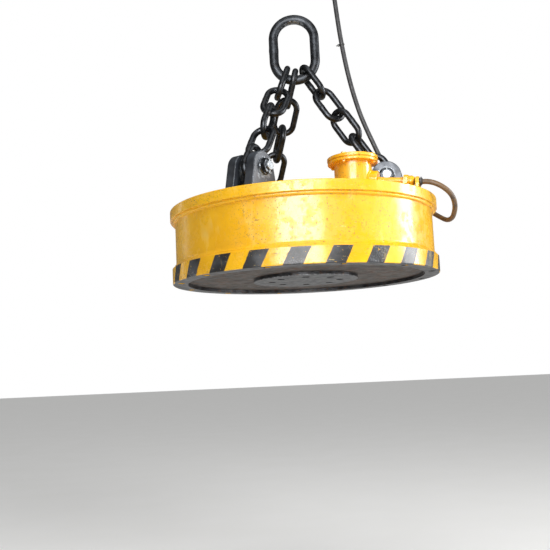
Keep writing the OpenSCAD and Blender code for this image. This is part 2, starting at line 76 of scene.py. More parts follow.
# ---------------------------------------------------------------------------
# Numbers and meshes
# ---------------------------------------------------------------------------


def unit(v: np.ndarray) -> np.ndarray:
    """Gives each row vector its own length of one.

    Args:
        v: vectors, with their components along the last axis.

    Returns:
        The same vectors at length one.
    """
    v = np.asarray(v, float)
    return v / np.linalg.norm(v, axis=-1, keepdims=True)


@dataclass
class Patch:
    """A piece of surface: points in millimetres, four-sided faces, and how worn each point is."""

    points: np.ndarray
    quads: np.ndarray
    wear: np.ndarray

    def placed(self, frame: "Place") -> "Patch":
        """The same surface carried into a place's own axes."""
        return Patch(self.points @ frame.axes + frame.origin, self.quads, self.wear)

    def kept(self, faces: np.ndarray) -> "Patch":
        """The same points with only some of the faces."""
        return Patch(self.points, self.quads[faces], self.wear)

    def moved(self, x: float = 0.0, y: float = 0.0, z: float = 0.0) -> "Patch":
        """The same surface shifted along the axes."""
        return Patch(self.points + np.array([x, y, z]), self.quads, self.wear)


@dataclass
class Place:
    """An origin and three axes, one to a row, that a surface is carried into."""

    origin: np.ndarray
    axes: np.ndarray = field(default_factory=lambda: np.eye(3))

    def within(self, origin: list[float], axes: np.ndarray | None = None) -> "Place":
        """A place given inside this one.

        Args:
            origin: its origin, in this place's axes.
            axes: its axes as rows, in this place's axes; the same axes if left out.

        Returns:
            The place in the object's own frame.
        """
        inner = np.eye(3) if axes is None else np.asarray(axes, float)
        return Place(np.asarray(origin, float) @ self.axes + self.origin, inner @ self.axes)


def along(direction: np.ndarray, side: np.ndarray) -> np.ndarray:
    """Axes whose third is a direction and whose first is the part of side that is square to it."""
    z = unit(direction)
    x = unit(side - z * (side @ z))
    return np.stack([x, np.cross(z, x), z])


def turn_z(degrees: float) -> np.ndarray:
    """Axes as rows, turned about Z by an angle."""
    a = np.radians(degrees)
    return np.array([[np.cos(a), np.sin(a), 0.0], [-np.sin(a), np.cos(a), 0.0], [0.0, 0.0, 1.0]])


def polar(r: np.ndarray | float, a: np.ndarray, z: np.ndarray | float) -> np.ndarray:
    """Points at radius r, angle a and height z round Z."""
    return np.stack([r * np.cos(a), r * np.sin(a), z + 0 * a], -1)


def read_all(items, name: str, width: int = 1, kind: type = float) -> np.ndarray:
    """One attribute of every vertex, loop or polygon of a mesh, as rows of a width."""
    values = np.zeros(len(items) * width, kind)
    items.foreach_get(name, values)
    return values.reshape(-1, width) if width > 1 else values


def joined(patches: list[Patch]) -> Patch:
    """Puts several surfaces in one list of points and faces."""
    starts = np.cumsum([0] + [len(p.points) for p in patches[:-1]])
    return Patch(
        np.concatenate([p.points for p in patches]),
        np.concatenate([p.quads + s for p, s in zip(patches, starts)]),
        np.concatenate([p.wear for p in patches]),
    )


def loft(rows: np.ndarray, wear: np.ndarray | None = None, ring: bool = False) -> Patch:
    """Joins rows of points into one surface: point (i, j) meets (i + 1, j) and (i, j + 1), and the
    last column meets the first.

    Args:
        rows: points, as rows by columns by three.
        wear: how worn each row or each point is, 0 to 1.
        ring: the last row meets the first as well, so the surface closes on itself.

    Returns:
        The surface.
    """
    r, c = rows.shape[:2]
    i = np.arange(r if ring else r - 1)[:, None]
    j = np.arange(c)[None, :]
    i2, j2 = (i + 1) % r, (j + 1) % c
    quads = np.stack([i * c + j, i * c + j2, i2 * c + j2, i2 * c + j], -1).reshape(-1, 4)
    worn = np.zeros((r, c)) if wear is None else np.asarray(wear, float)
    worn = np.broadcast_to(worn if worn.ndim == 2 else worn[:, None], (r, c))
    return Patch(rows.reshape(-1, 3), quads, worn.reshape(-1).copy())


def rounded(corners: list, setback: list | float, steps: int = 4, shut: bool = True):
    """Rounds the corners of a line. Between the points a setback before and after a corner c, the
    line follows (1-s)^2 before + 2s(1-s) c + s^2 after; one more point stands a third of a setback
    further out on each side, so that a flat stays flat up to the rounding.

    Args:
        corners: the corner points, in order.
        setback: how far from each corner its rounding starts, one number or one for each.
        steps: points in each rounding, less one.
        shut: the last corner meets the first; otherwise the two ends stay as they are.

    Returns:
        The rounded line's points, and how exposed each point is to wear.
    """
    c = np.asarray(corners, float)
    t = np.broadcast_to(np.asarray(setback, float), len(c))[:, None]
    before, after = unit(np.roll(c, 1, 0) - c), unit(np.roll(c, -1, 0) - c)
    s = np.linspace(0.0, 1.0, steps + 1)[None, :, None]
    a, b, m = (c + before * t)[:, None], (c + after * t)[:, None], c[:, None]
    arc = (1 - s) ** 2 * a + 2 * s * (1 - s) * m + s**2 * b
    far = 4 / 3
    points = np.concatenate(
        [(c + before * t * far)[:, None], arc, (c + after * t * far)[:, None]], 1
    )
    wear = np.zeros(points.shape[:2])
    wear[:, 1:-1] = 4 * (s * (1 - s))[0, :, 0] * (t > 0)
    if shut:
        return points.reshape(-1, c.shape[1]), wear.reshape(-1)
    middle = points[1:-1].reshape(-1, c.shape[1])
    return (
        np.concatenate([c[:1], middle, c[-1:]]),
        np.concatenate([[0.0], wear[1:-1].reshape(-1), [0.0]]),
    )


def turned_solid(
    profile: np.ndarray, wear: np.ndarray | None = None, sides: int = 96, ring: bool = True
) -> Patch:
    """Turns a profile of (radius, height) about Z: each point goes to (r cos a, r sin a, z).

    Args:
        profile: the profile's points.
        wear: how worn each point of the profile is.
        sides: how many times it is repeated round the axis.
        ring: the profile is shut; otherwise it runs from the axis back to the axis.

    Returns:
        The surface.
    """
    a = np.linspace(0.0, 2 * np.pi, sides, endpoint=False)[None, :]
    r, z = profile[:, :1], profile[:, 1:]
    return loft(polar(r, a, z), wear, ring)


def turned_round(corners: list, setback: list | float, sides: int = 96, ring: bool = True) -> Patch:
    """A turned solid whose profile has rounded corners."""
    line, wear = rounded(corners, setback, shut=ring)
    return turned_solid(line, wear, sides, ring)


def tube(
    inner: float, outer: float, low: float, high: float, setback: list | float, sides: int = 48
) -> Patch:
    """A tube turned about Z between two heights, or a solid peg where its inner radius is 0."""
    corners = [(inner, low), (outer, low), (outer, high), (inner, high)]
    return turned_round(corners, setback, sides, inner > 0)


def raised(line: np.ndarray, z: float) -> np.ndarray:
    """A flat line's points set at a height."""
    return np.c_[line, np.full(len(line), z)]


def swept(path: np.ndarray, radius: np.ndarray | float, sides: int = 16, ring: bool = False) -> Patch:
    """Carries a circle along a path. The circle's first direction is carried on from point to
    point with no twist; on an open path both ends close in a low dome.

    Args:
        path: the centreline's points.
        radius: the circle's radius, one number or one for each point.
        sides: points on the circle.
        ring: the path's end meets its start.

    Returns:
        The surface.
    """
    path = np.asarray(path, float)
    r = np.broadcast_to(np.asarray(radius, float), len(path)).copy()
    if ring:
        tangent = unit(np.roll(path, -1, 0) - np.roll(path, 1, 0))
    else:
        tangent = unit(np.gradient(path, axis=0))
    side = np.zeros_like(path)
    start = np.eye(3)[np.argmin(np.abs(tangent[0]))]
    for i, t in enumerate(tangent):
        start = unit(start - t * (start @ t))
        side[i] = start
    a = np.linspace(0.0, 2 * np.pi, sides, endpoint=False)[None, :, None]
    if ring:
        other = np.cross(tangent, side)
        slip = np.arctan2(side[0] @ other[-1], side[0] @ side[-1])
        a = a + (slip * np.arange(len(path)) / len(path))[:, None, None]
    circle = side[:, None] * np.cos(a) + np.cross(tangent, side)[:, None] * np.sin(a)
    rows = path[:, None] + circle * r[:, None, None]
    if not ring:
        low, lip = 0.25, 0.8
        ends = [
            path[0] - tangent[0] * low * r[0] + 0 * rows[0],
            path[0] + circle[0] * r[0] * lip - tangent[0] * low * r[0] * lip**2 * 0.7,
            path[-1] + circle[-1] * r[-1] * lip + tangent[-1] * low * r[-1] * lip**2 * 0.7,
            path[-1] + tangent[-1] * low * r[-1] + 0 * rows[-1],
        ]
        rows = np.concatenate([[ends[0], ends[1]], rows, [ends[2], ends[3]]])
    return loft(rows, None, ring)


def rounding(edge: float, steps: int = 4) -> np.ndarray:
    """Quarter circle of an edge as (inset, depth) from the face to the side, with a point before."""
    a = np.linspace(0.0, np.pi / 2, steps + 1)
    arc = edge * np.stack([1 - np.sin(a), 1 - np.cos(a)], -1)
    far = 1.5 * edge
    return np.concatenate([[[far, 0.0]], arc, [[0.0, far]]])


def slab(
    outline: np.ndarray, low: float, high: float, edge: float, inner: np.ndarray | None = None
) -> Patch:
    """A plate between two heights with rounded edges. Its side rows are the outline moved inwards
    along the outline's own normals; a plate with a bore goes on down the bore's wall instead of
    closing in its middle.

    Args:
        outline: the plate's outline in X and Y, counterclockwise.
        low: height of its lower face.
        high: height of its upper face.
        edge: radius of its edges.
        inner: the bore's outline, with as many points, each beside its point on the outline.

    Returns:
        The surface.
    """
    ahead = np.roll(outline, -1, 0) - np.roll(outline, 1, 0)
    normal = unit(np.stack([ahead[:, 1], -ahead[:, 0]], -1))
    steps = rounding(edge)
    inset = np.concatenate([steps[:, 0], steps[::-1, 0]])
    height = np.concatenate([high - steps[:, 1], low + steps[::-1, 1]])
    worn = np.concatenate([4 * steps[:, 0] * steps[:, 1] / edge**2] * 2).clip(0, 1)
    worn = np.where((inset > edge) | (inset == 0), 0.0, np.maximum(worn, 0.6))
    flat = outline[None] - normal[None] * inset[:, None, None]
    rows = np.concatenate([flat, np.broadcast_to(height[:, None, None], (*flat.shape[:2], 1))], 2)
    if inner is None:
        middle = outline.mean(0)
        caps = [np.broadcast_to(np.array([*middle, z]), rows[:1].shape) for z in (high, low)]
        return loft(np.concatenate([caps[0], rows, caps[1]]), np.concatenate([[0], worn, [0]]))
    out = unit(inner - inner.mean(0))
    small = min(edge, 1.5)
    bore = [(small, low), (0.0, low + small), (0.0, high - small), (small, high)]
    walls = [raised(inner + out * g, z) for g, z in bore]
    return loft(np.concatenate([rows, np.stack(walls)]), np.concatenate([worn, [1, 0, 0, 1]]), True)


def hexagon(flats: float, low: float, high: float, both: bool = False, bore: float = 0.0) -> Patch:
    """A hexagon nut or bolt head. Its radius at angle a is (flats/2) / cos(a mod 60 - 30), and the
    upper end is cut by a cone of 30 degrees that just meets the flats, which leaves the curved
    arrises of a real one.

    Args:
        flats: width across the flats.
        low: height of its lower face.
        high: height of its upper face.
        both: the lower end is cut by the same cone.
        bore: diameter of a hole through it, if it has one.

    Returns:
        The surface.
    """
    a = np.radians(np.arange(0.0, 360.0, 5.0))
    r = flats / 2 / np.cos(np.mod(a, np.pi / 3) - np.pi / 6)
    rim = np.full_like(r, flats / 2 * 0.95)
    fall = (r - rim) * np.tan(np.radians(30.0))
    cut = fall if both else 0 * fall
    rows = [(bore / 2, high), (rim, high), (r, high - fall), (r, low + cut), (rim, low), (bore / 2, low)]
    points = np.stack([polar(p, a, z) for p, z in rows])
    return loft(points, np.array([0, 0.7, 0.5, 0.2, 0.4, 0]), ring=bore > 0)


def weld(path: np.ndarray, leg: float, ripple: float = 7.0, ring: bool = False, sides: int = 8) -> Patch:
    """A bead of weld along a path. Its radius is leg (1 + 0.1 |sin(pi s / ripple)|) with a slow
    wander, s being the distance run, so it shows the ripples of a hand-laid bead.

    Args:
        path: the root's centreline.
        leg: the bead's radius.
        ripple: distance between ripples.
        ring: the path closes on itself.
        sides: points round the bead.

    Returns:
        The surface.
    """
    steps = np.linalg.norm(np.diff(path, axis=0, append=path[:1] if ring else path[-1:]), axis=1)
    total = steps.sum()
    n = int(total / ripple * 4)
    s = np.linspace(0.0, total, n, endpoint=not ring)
    run = np.concatenate([[0.0], np.cumsum(steps)])[: len(path) + (1 if ring else 0)]
    source = np.concatenate([path, path[:1]]) if ring else path
    even = np.stack([np.interp(s, run, source[:, k]) for k in range(3)], -1)
    wander = 0.06 * np.sin(s / 43.0) + 0.05 * np.sin(s / 17.0 + 1.0)
    return swept(even, leg * (0.92 + 0.1 * np.abs(np.sin(np.pi * s / ripple)) + wander), sides, ring)


def circle(radius: float, z: float = 0.0, n: int = 128) -> np.ndarray:
    """Points on a circle round Z."""
    a = np.linspace(0.0, 2 * np.pi, n, endpoint=False)
    return polar(radius, a, z)


def box_outline(x: float, y: float, corner: float, per_side: int = 10) -> np.ndarray:
    """Outline of an x by y rectangle with rounded corners, with points along its sides."""
    corners = np.array([[x, y], [-x, y], [-x, -y], [x, -y]]) / 2
    line, _ = rounded(corners, corner)
    per = len(line) // 4
    rows = line.reshape(4, per, 2)
    start, end = rows[:, -1], np.roll(rows, -1, 0)[:, 0]
    s = np.linspace(0.0, 1.0, per_side, endpoint=False)[1:][None, :, None]
    sides = start[:, None] * (1 - s) + end[:, None] * s
    return np.concatenate([rows, sides], 1).reshape(-1, 2)


def catmull(route: np.ndarray, per_span: int) -> np.ndarray:
    """A smooth curve through points p, q, r, s of a route: on the span from q to r it is
    (2q + (r-p) t + (2p-5q+4r-s) t^2 + (3q-p-3r+s) t^3) / 2, with the end points repeated.

    Args:
        route: the points it passes through.
        per_span: points made on each span.

    Returns:
        The curve's points, the last of the route among them.
    """
    p = np.concatenate([route[:1], route[:-2], route[-3:-2]])[: len(route) - 1]
    q, r = route[:-1], route[1:]
    s = np.concatenate([route[2:], route[-1:]])
    t = np.linspace(0.0, 1.0, per_span, endpoint=False)[None, :, None]
    p, q, r, s = (x[:, None] for x in (p, q, r, s))
    curve = 0.5 * (2 * q + (r - p) * t + (2 * p - 5 * q + 4 * r - s) * t**2 + (3 * q - p - 3 * r + s) * t**3)
    return np.concatenate([curve.reshape(-1, 3), route[-1:]])


def write_mesh(name: str, parts: list[tuple[Patch, bpy.types.Material]]) -> bpy.types.Object:
    """Writes surfaces into one mesh object in metres, closes their poles and seams, turns every
    face outwards, and stores how worn each point is.

    Args:
        name: the object's name.
        parts: the surfaces with the material each one has.

    Returns:
        The object, at the origin.
    """
    whole = joined([p for p, _ in parts])
    mesh = bpy.data.meshes.new(name)
    mesh.from_pydata((whole.points * MM).tolist(), [], whole.quads.tolist())
    materials = list(dict.fromkeys(m for _, m in parts))
    for material in materials:
        mesh.materials.append(material)
    slots = np.concatenate([np.full(len(p.quads), materials.index(m)) for p, m in parts])
    mesh.polygons.foreach_set("material_index", slots.astype(np.int32))
    mesh.attributes.new(WEAR, "FLOAT", "POINT").data.foreach_set("value", whole.wear.astype(np.float32))
    shape = bmesh.new()
    shape.from_mesh(mesh)
    bmesh.ops.remove_doubles(shape, verts=shape.verts, dist=2e-6)
    bmesh.ops.dissolve_degenerate(shape, edges=shape.edges, dist=1e-7)
    bmesh.ops.delete(shape, geom=[v for v in shape.verts if not v.link_faces], context="VERTS")
    bmesh.ops.recalc_face_normals(shape, faces=shape.faces)
    shape.to_mesh(mesh)
    shape.free()
    mesh.shade_smooth()
    mesh.set_sharp_from_angle(angle=SMOOTH_ANGLE)
    made = bpy.data.objects.new(name, mesh)
    bpy.context.scene.collection.objects.link(made)
    return made


def place_piece(piece: bpy.types.Object, body: str, slot: str, *nodes: str) -> bpy.types.Object:
    """Puts a piece on its body and lets it stand for its CAD nodes, which it hides.

    Args:
        piece: the finished object.
        body: the CAD body it moves with.
        slot: the record's material slot; not used.
        nodes: the CAD nodes it stands for.

    Returns:
        The piece.
    """
    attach(piece, body)
    if nodes:
        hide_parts(*nodes)
    LOG.info("%s: %d faces, rides on %s", piece.name, len(piece.data.polygons), body)
    return piece


# ---------------------------------------------------------------------------
# Finishes
# ---------------------------------------------------------------------------


def linear(code: str) -> tuple[float, float, float, float]:
    """Turns an sRGB hex colour to the linear one that a shader takes."""
    s = np.array([int(code[i : i + 2], 16) for i in (1, 3, 5)]) / 255
    rgb = np.where(s <= 0.04045, s / 12.92, ((s + 0.055) / 1.055) ** 2.4)
    return (*rgb.tolist(), 1.0)


def per_mm(size: float) -> float:
    """Noise scale, in cells to the metre, that gives features of a size in millimetres."""
    return 1.0 / (size * MM)


def add_node(tree: bpy.types.NodeTree, kind: str, inputs: dict | None = None, **settings) -> bpy.types.Node:
    """Adds one node with its settings and links.

    Args:
        tree: the material's tree.
        kind: the node's type.
        inputs: for each socket's name or number, its value or the output that feeds it.
        settings: the node's own properties.

    Returns:
        The node.
    """
    made = tree.nodes.new(kind)
    for name, value in settings.items():
        setattr(made, name, value)
    for key, value in (inputs or {}).items():
        if isinstance(value, bpy.types.NodeSocket):
            tree.links.new(value, made.inputs[key])
        else:
            made.inputs[key].default_value = value
    return made


class Painter:
    """Short ways to say the few sums that every finish uses, in one material's tree."""

    def __init__(self, name: str) -> None:
        """Starts an empty material with Object coordinates at hand."""
        self.material = bpy.data.materials.new(name)
        self.material.use_nodes = True
        self.tree = self.material.node_tree
        self.tree.nodes.clear()
        self.coords = add_node(self.tree, "ShaderNodeTexCoord").outputs["Object"]
        self.worn = add_node(self.tree, "ShaderNodeAttribute", attribute_name=WEAR).outputs["Fac"]

    def noise(self, size: float, detail: float = 3.0, stretch: tuple | None = None, rough: float = 0.55):
        """Noise with features of a size in millimetres, drawn out by stretch along the axes."""
        at = self.coords
        if stretch:
            at = add_node(self.tree, "ShaderNodeMapping", {0: at, "Scale": stretch}).outputs[0]
        made = {0: at, "Scale": per_mm(size), "Detail": detail, "Roughness": rough}
        return add_node(self.tree, "ShaderNodeTexNoise", made).outputs["Fac"]

    def step(self, value, low: float, high: float, to_low: float = 0.0, to_high: float = 1.0):
        """Takes low..high to to_low..to_high, smoothly and no further."""
        ends = {0: value, 1: low, 2: high, 3: to_low, 4: to_high}
        return add_node(self.tree, "ShaderNodeMapRange", ends, interpolation_type="SMOOTHSTEP").outputs[0]

    def near(self, centre: tuple, inner: float, outer: float):
        """1 within inner metres of a point of the object, falling to 0 at outer."""
        away = add_node(self.tree, "ShaderNodeVectorMath", {0: self.coords, 1: centre}, operation="DISTANCE")
        return self.step(away.outputs["Value"], inner, outer, 1.0, 0.0)

    def sum(self, operation: str, a, b=0.0, c=0.0):
        """One sum on two or three numbers."""
        return add_node(self.tree, "ShaderNodeMath", {0: a, 1: b, 2: c}, operation=operation).outputs[0]

    def times(self, a, b):
        """The product of two numbers."""
        return self.sum("MULTIPLY", a, b)

    def most(self, *values):
        """The greatest of some numbers."""
        top = values[0]
        for value in values[1:]:
            top = self.sum("MAXIMUM", top, value)
        return top

    def mix(self, share, a, b):
        """Mixes two colours, each a hex code or a colour output."""
        a, b = (linear(x) if isinstance(x, str) else x for x in (a, b))
        made = add_node(self.tree, "ShaderNodeMix", None, data_type="RGBA")
        for key, value in ((0, share), (6, a), (7, b)):
            if isinstance(value, bpy.types.NodeSocket):
                self.tree.links.new(value, made.inputs[key])
            else:
                made.inputs[key].default_value = value
        return made.outputs[2]

    def finish(self, height, depth: float, inputs: dict) -> bpy.types.Material:
        """Ends the material in a Principled shader with a bump of a real depth.

        Args:
            height: the bump's height, 0 to 1.
            depth: what a height of 1 is, in millimetres.
            inputs: the shader's sockets.

        Returns:
            The material.
        """
        bump = add_node(self.tree, "ShaderNodeBump", {"Height": height, "Distance": depth * MM})
        shader = add_node(self.tree, "ShaderNodeBsdfPrincipled", {**inputs, "Normal": bump.outputs[0]})
        add_node(self.tree, "ShaderNodeOutputMaterial", {0: shader.outputs[0]})
        return self.material


@dataclass(frozen=True)
class Enamel:
    """Sprayed alkyd enamel over primed steel: glossy with a little orange peel, chipped to its dark
    primer on edges and in specks, and scuffed paler where loads have brushed it."""

    name: str = "alkyd_enamel_yellow"
    fresh: str = "#F9BE19"
    deep: str = "#EEAE0C"
    scuffed: str = "#F8D77A"
    primer: str = "#4A3A26"
    peel_mm: float = 2.2
    peel_depth_mm: float = 0.035
    peel_share: float = 0.25
    patch_mm: float = 260.0
    speck_mm: float = 7.0
    edge_chips: float = 0.55
    brushed_m: tuple = (-0.03, -0.53, -0.95)

    def colour(self, p: Painter):
        """The paint film's colour before anything has worn it, and how matt it is."""
        return p.mix(p.step(p.noise(self.patch_mm, 4.0), 0.36, 0.66), self.deep, self.fresh), 0.0

    def build(self) -> bpy.types.Material:
        """Builds the material."""
        p = Painter(self.name)
        cover = p.most(p.step(p.noise(self.patch_mm * 0.7, 3.0), 0.42, 0.62),
                       p.near(self.brushed_m, 0.08, 0.34))
        speck = p.times(p.step(p.noise(self.speck_mm, 4.0, rough=0.7), 0.59, 0.62), cover)
        scratch = p.times(p.step(p.noise(9.0, 2.0, (0.14, 0.14, 1.0)), 0.70, 0.74), cover)
        pale = p.times(p.step(p.noise(6.0, 2.0, (0.25, 0.25, 1.0)), 0.68, 0.72), cover)
        blotch = p.times(p.step(p.noise(38.0, 6.0, rough=0.7), 0.50, 0.56), cover)
        scuff = p.step(p.noise(60.0, 6.0, (1.0, 1.0, 0.35), 0.65), 0.56, 0.76)
        ragged = p.times(p.worn, p.noise(14.0, 5.0, rough=0.7))
        edge = p.times(p.step(ragged, self.edge_chips, 0.62), 0.85)
        chipped = p.most(edge, p.times(speck, 0.8))
        tone, matt = self.colour(p)
        tone = p.mix(p.times(scuff, 0.45), tone, self.scuffed)
        tone = p.mix(p.times(pale, 0.7), tone, self.scuffed)
        tone = p.mix(p.times(scratch, 0.6), tone, self.primer)
        tone = p.mix(chipped, tone, self.primer)
        dull = p.most(chipped, matt, p.times(scuff, 0.5), p.times(blotch, 0.95))
        gloss = p.step(p.noise(120.0, 3.0), 0.3, 0.7, 0.2, 0.3)
        film = p.sum("SUBTRACT", 1.0, chipped)
        return p.finish(
            p.sum("MULTIPLY_ADD", p.noise(self.peel_mm, 2.0), self.peel_share, film),
            self.peel_depth_mm / self.peel_share,
            {"Base Color": tone, "Roughness": p.sum("ADD", gloss, p.times(dull, 0.35)),
             "Specular IOR Level": 0.38, "Coat Weight": 0.15, "Coat Roughness": 0.12},
        )


@dataclass(frozen=True)
class StripedEnamel(Enamel):
    """The pole ring's enamel with black hazard stripes sprayed over a mask: their edges are sharp
    but for a little bleed, and handling has rubbed them grey and speckled."""

    name: str = "alkyd_enamel_hazard_stripes"
    stripe: str = "#0D0D0F"
    rubbed: str = "#3F4247"
    stripes: int = 23
    stripe_share: float = 0.486
    first_deg: float = -91.0
    lean_deg: float = 3.4
    top_mm: float = -1055.0
    height_mm: float = 62.0
    bleed: float = 0.012

    def colour(self, p: Painter):
        """Yellow with stripes, which are more matt. With a the angle round the axis and h the depth
        under the ring's top, (a - first + lean h) / pitch is whole at the middle of each stripe."""
        x, y, z = add_node(p.tree, "ShaderNodeSeparateXYZ", {0: p.coords}).outputs
        angle = p.sum("DEGREES", p.sum("ARCTAN2", y, x))
        down = p.sum("MULTIPLY_ADD", z, -1 / (self.height_mm * MM), self.top_mm / self.height_mm)
        turned = p.sum("SUBTRACT", p.sum("MULTIPLY_ADD", down, self.lean_deg, angle), self.first_deg)
        phase = p.sum("MULTIPLY_ADD", turned, self.stripes / 360, 0.5)
        wander = p.sum("MULTIPLY_ADD", p.noise(25.0, 4.0), self.bleed * 3, -self.bleed * 1.5)
        off = p.sum("ABSOLUTE", p.sum("SUBTRACT", p.sum("FRACT", p.sum("ADD", phase, wander)), 0.5))
        half = self.stripe_share / 2
        band = p.step(off, half - self.bleed, half + self.bleed, 1.0, 0.0)
        rub = p.step(p.noise(110.0, 4.0), 0.40, 0.62)
        grain = p.step(p.noise(4.0, 4.0, rough=0.75), 0.52, 0.60)
        black = p.mix(rub, self.stripe, self.rubbed)
        spots = p.times(grain, p.step(p.noise(190.0, 2.0), 0.50, 0.60))
        lost = p.step(p.noise(11.0, 5.0, rough=0.75), 0.64, 0.67)
        kept = p.sum("SUBTRACT", 1.0, p.times(lost, 0.9))
        black = p.mix(p.times(spots, 0.75), black, "#787B80")
        yellow, _ = super().colour(p)
        return p.mix(p.times(band, kept), yellow, black), p.times(band, 0.8)


@dataclass(frozen=True)
class Metal:
    """Bare or plated metal: colour patches, a grain of its process, and brighter worn edges."""

    name: str
    dark: str
    light: str
    worn: str
    patch_mm: float = 40.0
    grain_mm: float = 1.5
    grain_depth_mm: float = 0.08
    rough: tuple = (0.35, 0.55)
    metallic: float = 1.0
    stretch: tuple | None = None
    edge: tuple = (0.30, 0.55)
    stain: str = "#3A3029"
    stain_share: float = 0.0

    def build(self) -> bpy.types.Material:
        """Builds the material."""
        p = Painter(self.name)
        tone = p.mix(p.step(p.noise(self.patch_mm, 5.0), 0.38, 0.64), self.dark, self.light)
        grain = p.noise(self.grain_mm, 4.0, self.stretch, 0.6)
        tone = p.mix(p.step(grain, 0.35, 0.70, 0.0, 0.30), tone, self.light)
        if self.stain_share:
            stain = p.step(p.noise(self.patch_mm * 0.6, 6.0, rough=0.7), 0.60 - 0.2 * self.stain_share, 0.66)
            tone = p.mix(p.times(stain, min(1.0, self.stain_share * 2)), tone, self.stain)
        rubbed = p.step(p.times(p.worn, p.noise(9.0, 5.0)), *self.edge)
        tone = p.mix(rubbed, tone, self.worn)
        rough = p.step(p.noise(self.patch_mm * 0.5, 4.0), 0.3, 0.7, *self.rough)
        rough = p.sum("MULTIPLY_ADD", rubbed, -0.12, rough)
        return p.finish(
            grain,
            self.grain_depth_mm,
            {"Base Color": tone, "Roughness": rough, "Metallic": self.metallic},
        )


@dataclass(frozen=True)
class Moulded:
    """Rubber, resin, laminate or nylon: one body colour with dust in its grain."""

    name: str
    body: str
    dusty: str
    patch_mm: float = 30.0
    grain_mm: float = 1.0
    grain_depth_mm: float = 0.05
    rough: tuple = (0.5, 0.7)
    ior: float = 1.5
    stretch: tuple | None = None

    def build(self) -> bpy.types.Material:
        """Builds the material."""
        p = Painter(self.name)
        grain = p.noise(self.grain_mm, 4.0, self.stretch, 0.6)
        dust = p.times(p.step(p.noise(self.patch_mm, 5.0, rough=0.65), 0.4, 0.68), 0.8)
        tone = p.mix(dust, self.body, self.dusty)
        tone = p.mix(p.times(p.worn, 0.35), tone, self.dusty)
        rough = p.step(grain, 0.3, 0.7, *self.rough)
        shader = {"Base Color": tone, "Roughness": rough, "IOR": self.ior}
        return p.finish(grain, self.grain_depth_mm, shader)


@dataclass(frozen=True)
class CableSheath:
    """Chloroprene rubber over a stranded three-core cable: fine rings from the extruder and a slow
    lay of the cores showing through, brown in patches where it runs low and grey where it hangs."""

    name: str = "chloroprene_cable_sheath"
    grey: str = "#2C2C2F"
    black: str = "#18181A"
    brown: str = "#6C4E26"
    lay_mm: float = 130.0
    turn_mm: float = 3.0
    brown_below_mm: float = -760.0
    brown_fade_mm: float = 90.0

    def build(self) -> bpy.types.Material:
        """Builds the material. Its U runs round the cable, and V is the distance run in metres."""
        p = Painter(self.name)
        u, v, _ = add_node(
            p.tree, "ShaderNodeSeparateXYZ", {0: add_node(p.tree, "ShaderNodeTexCoord").outputs["UV"]}
        ).outputs
        turns = p.sum("MULTIPLY_ADD", v, 1 / (self.lay_mm * MM), u)
        lay = p.sum("SINE", p.times(turns, 6 * np.pi))
        rings = p.sum("SINE", p.times(v, 2 * np.pi / (self.turn_mm * MM)))
        height = p.sum("MULTIPLY_ADD", rings, 0.12, p.times(lay, 0.5))
        low = add_node(p.tree, "ShaderNodeSeparateXYZ", {0: p.coords}).outputs[2]
        # brown towards the bottom: full below brown_below_mm, gone brown_fade_mm higher, laid on in noise
        # patches
        far = self.brown_below_mm + self.brown_fade_mm
        dusty = p.step(low, self.brown_below_mm * MM, far * MM, 1.0, 0.0)
        patch = p.step(p.noise(45.0, 5.0, rough=0.65), 0.35, 0.62)
        tone = p.mix(patch, self.black, self.grey)
        dust = p.times(dusty, p.step(p.noise(30.0, 4.0), 0.30, 0.60, 0.35, 0.95))
        tone = p.mix(dust, tone, self.brown)
        rough = p.step(p.noise(12.0, 3.0), 0.3, 0.7, 0.5, 0.7)
        return p.finish(height, 0.25, {"Base Color": tone, "Roughness": rough, "IOR": 1.52})


@dataclass(frozen=True)
class WoundStrip:
    """Anodised aluminium strip wound on edge: matt silver with a fine line at each turn."""

    name: str = "anodised_aluminium_strip_coil"
    light: str = "#B9BBBE"
    dark: str = "#84868A"
    turn_mm: float = 2.5

    def build(self) -> bpy.types.Material:
        """Builds the material: brightness is a wave of the distance from the axis."""
        p = Painter(self.name)
        x, y, _ = add_node(p.tree, "ShaderNodeSeparateXYZ", {0: p.coords}).outputs
        r = p.sum("SQRT", p.sum("ADD", p.times(x, x), p.times(y, y)))
        wave = p.sum("SINE", p.times(r, 2 * np.pi / (self.turn_mm * MM)))
        line = p.step(wave, -1.0, 0.4)
        tone = p.mix(line, self.dark, p.mix(p.noise(40.0), self.light, "#A4A6AA"))
        return p.finish(line, 0.2, {"Base Color": tone, "Roughness": 0.42, "Metallic": 0.9})


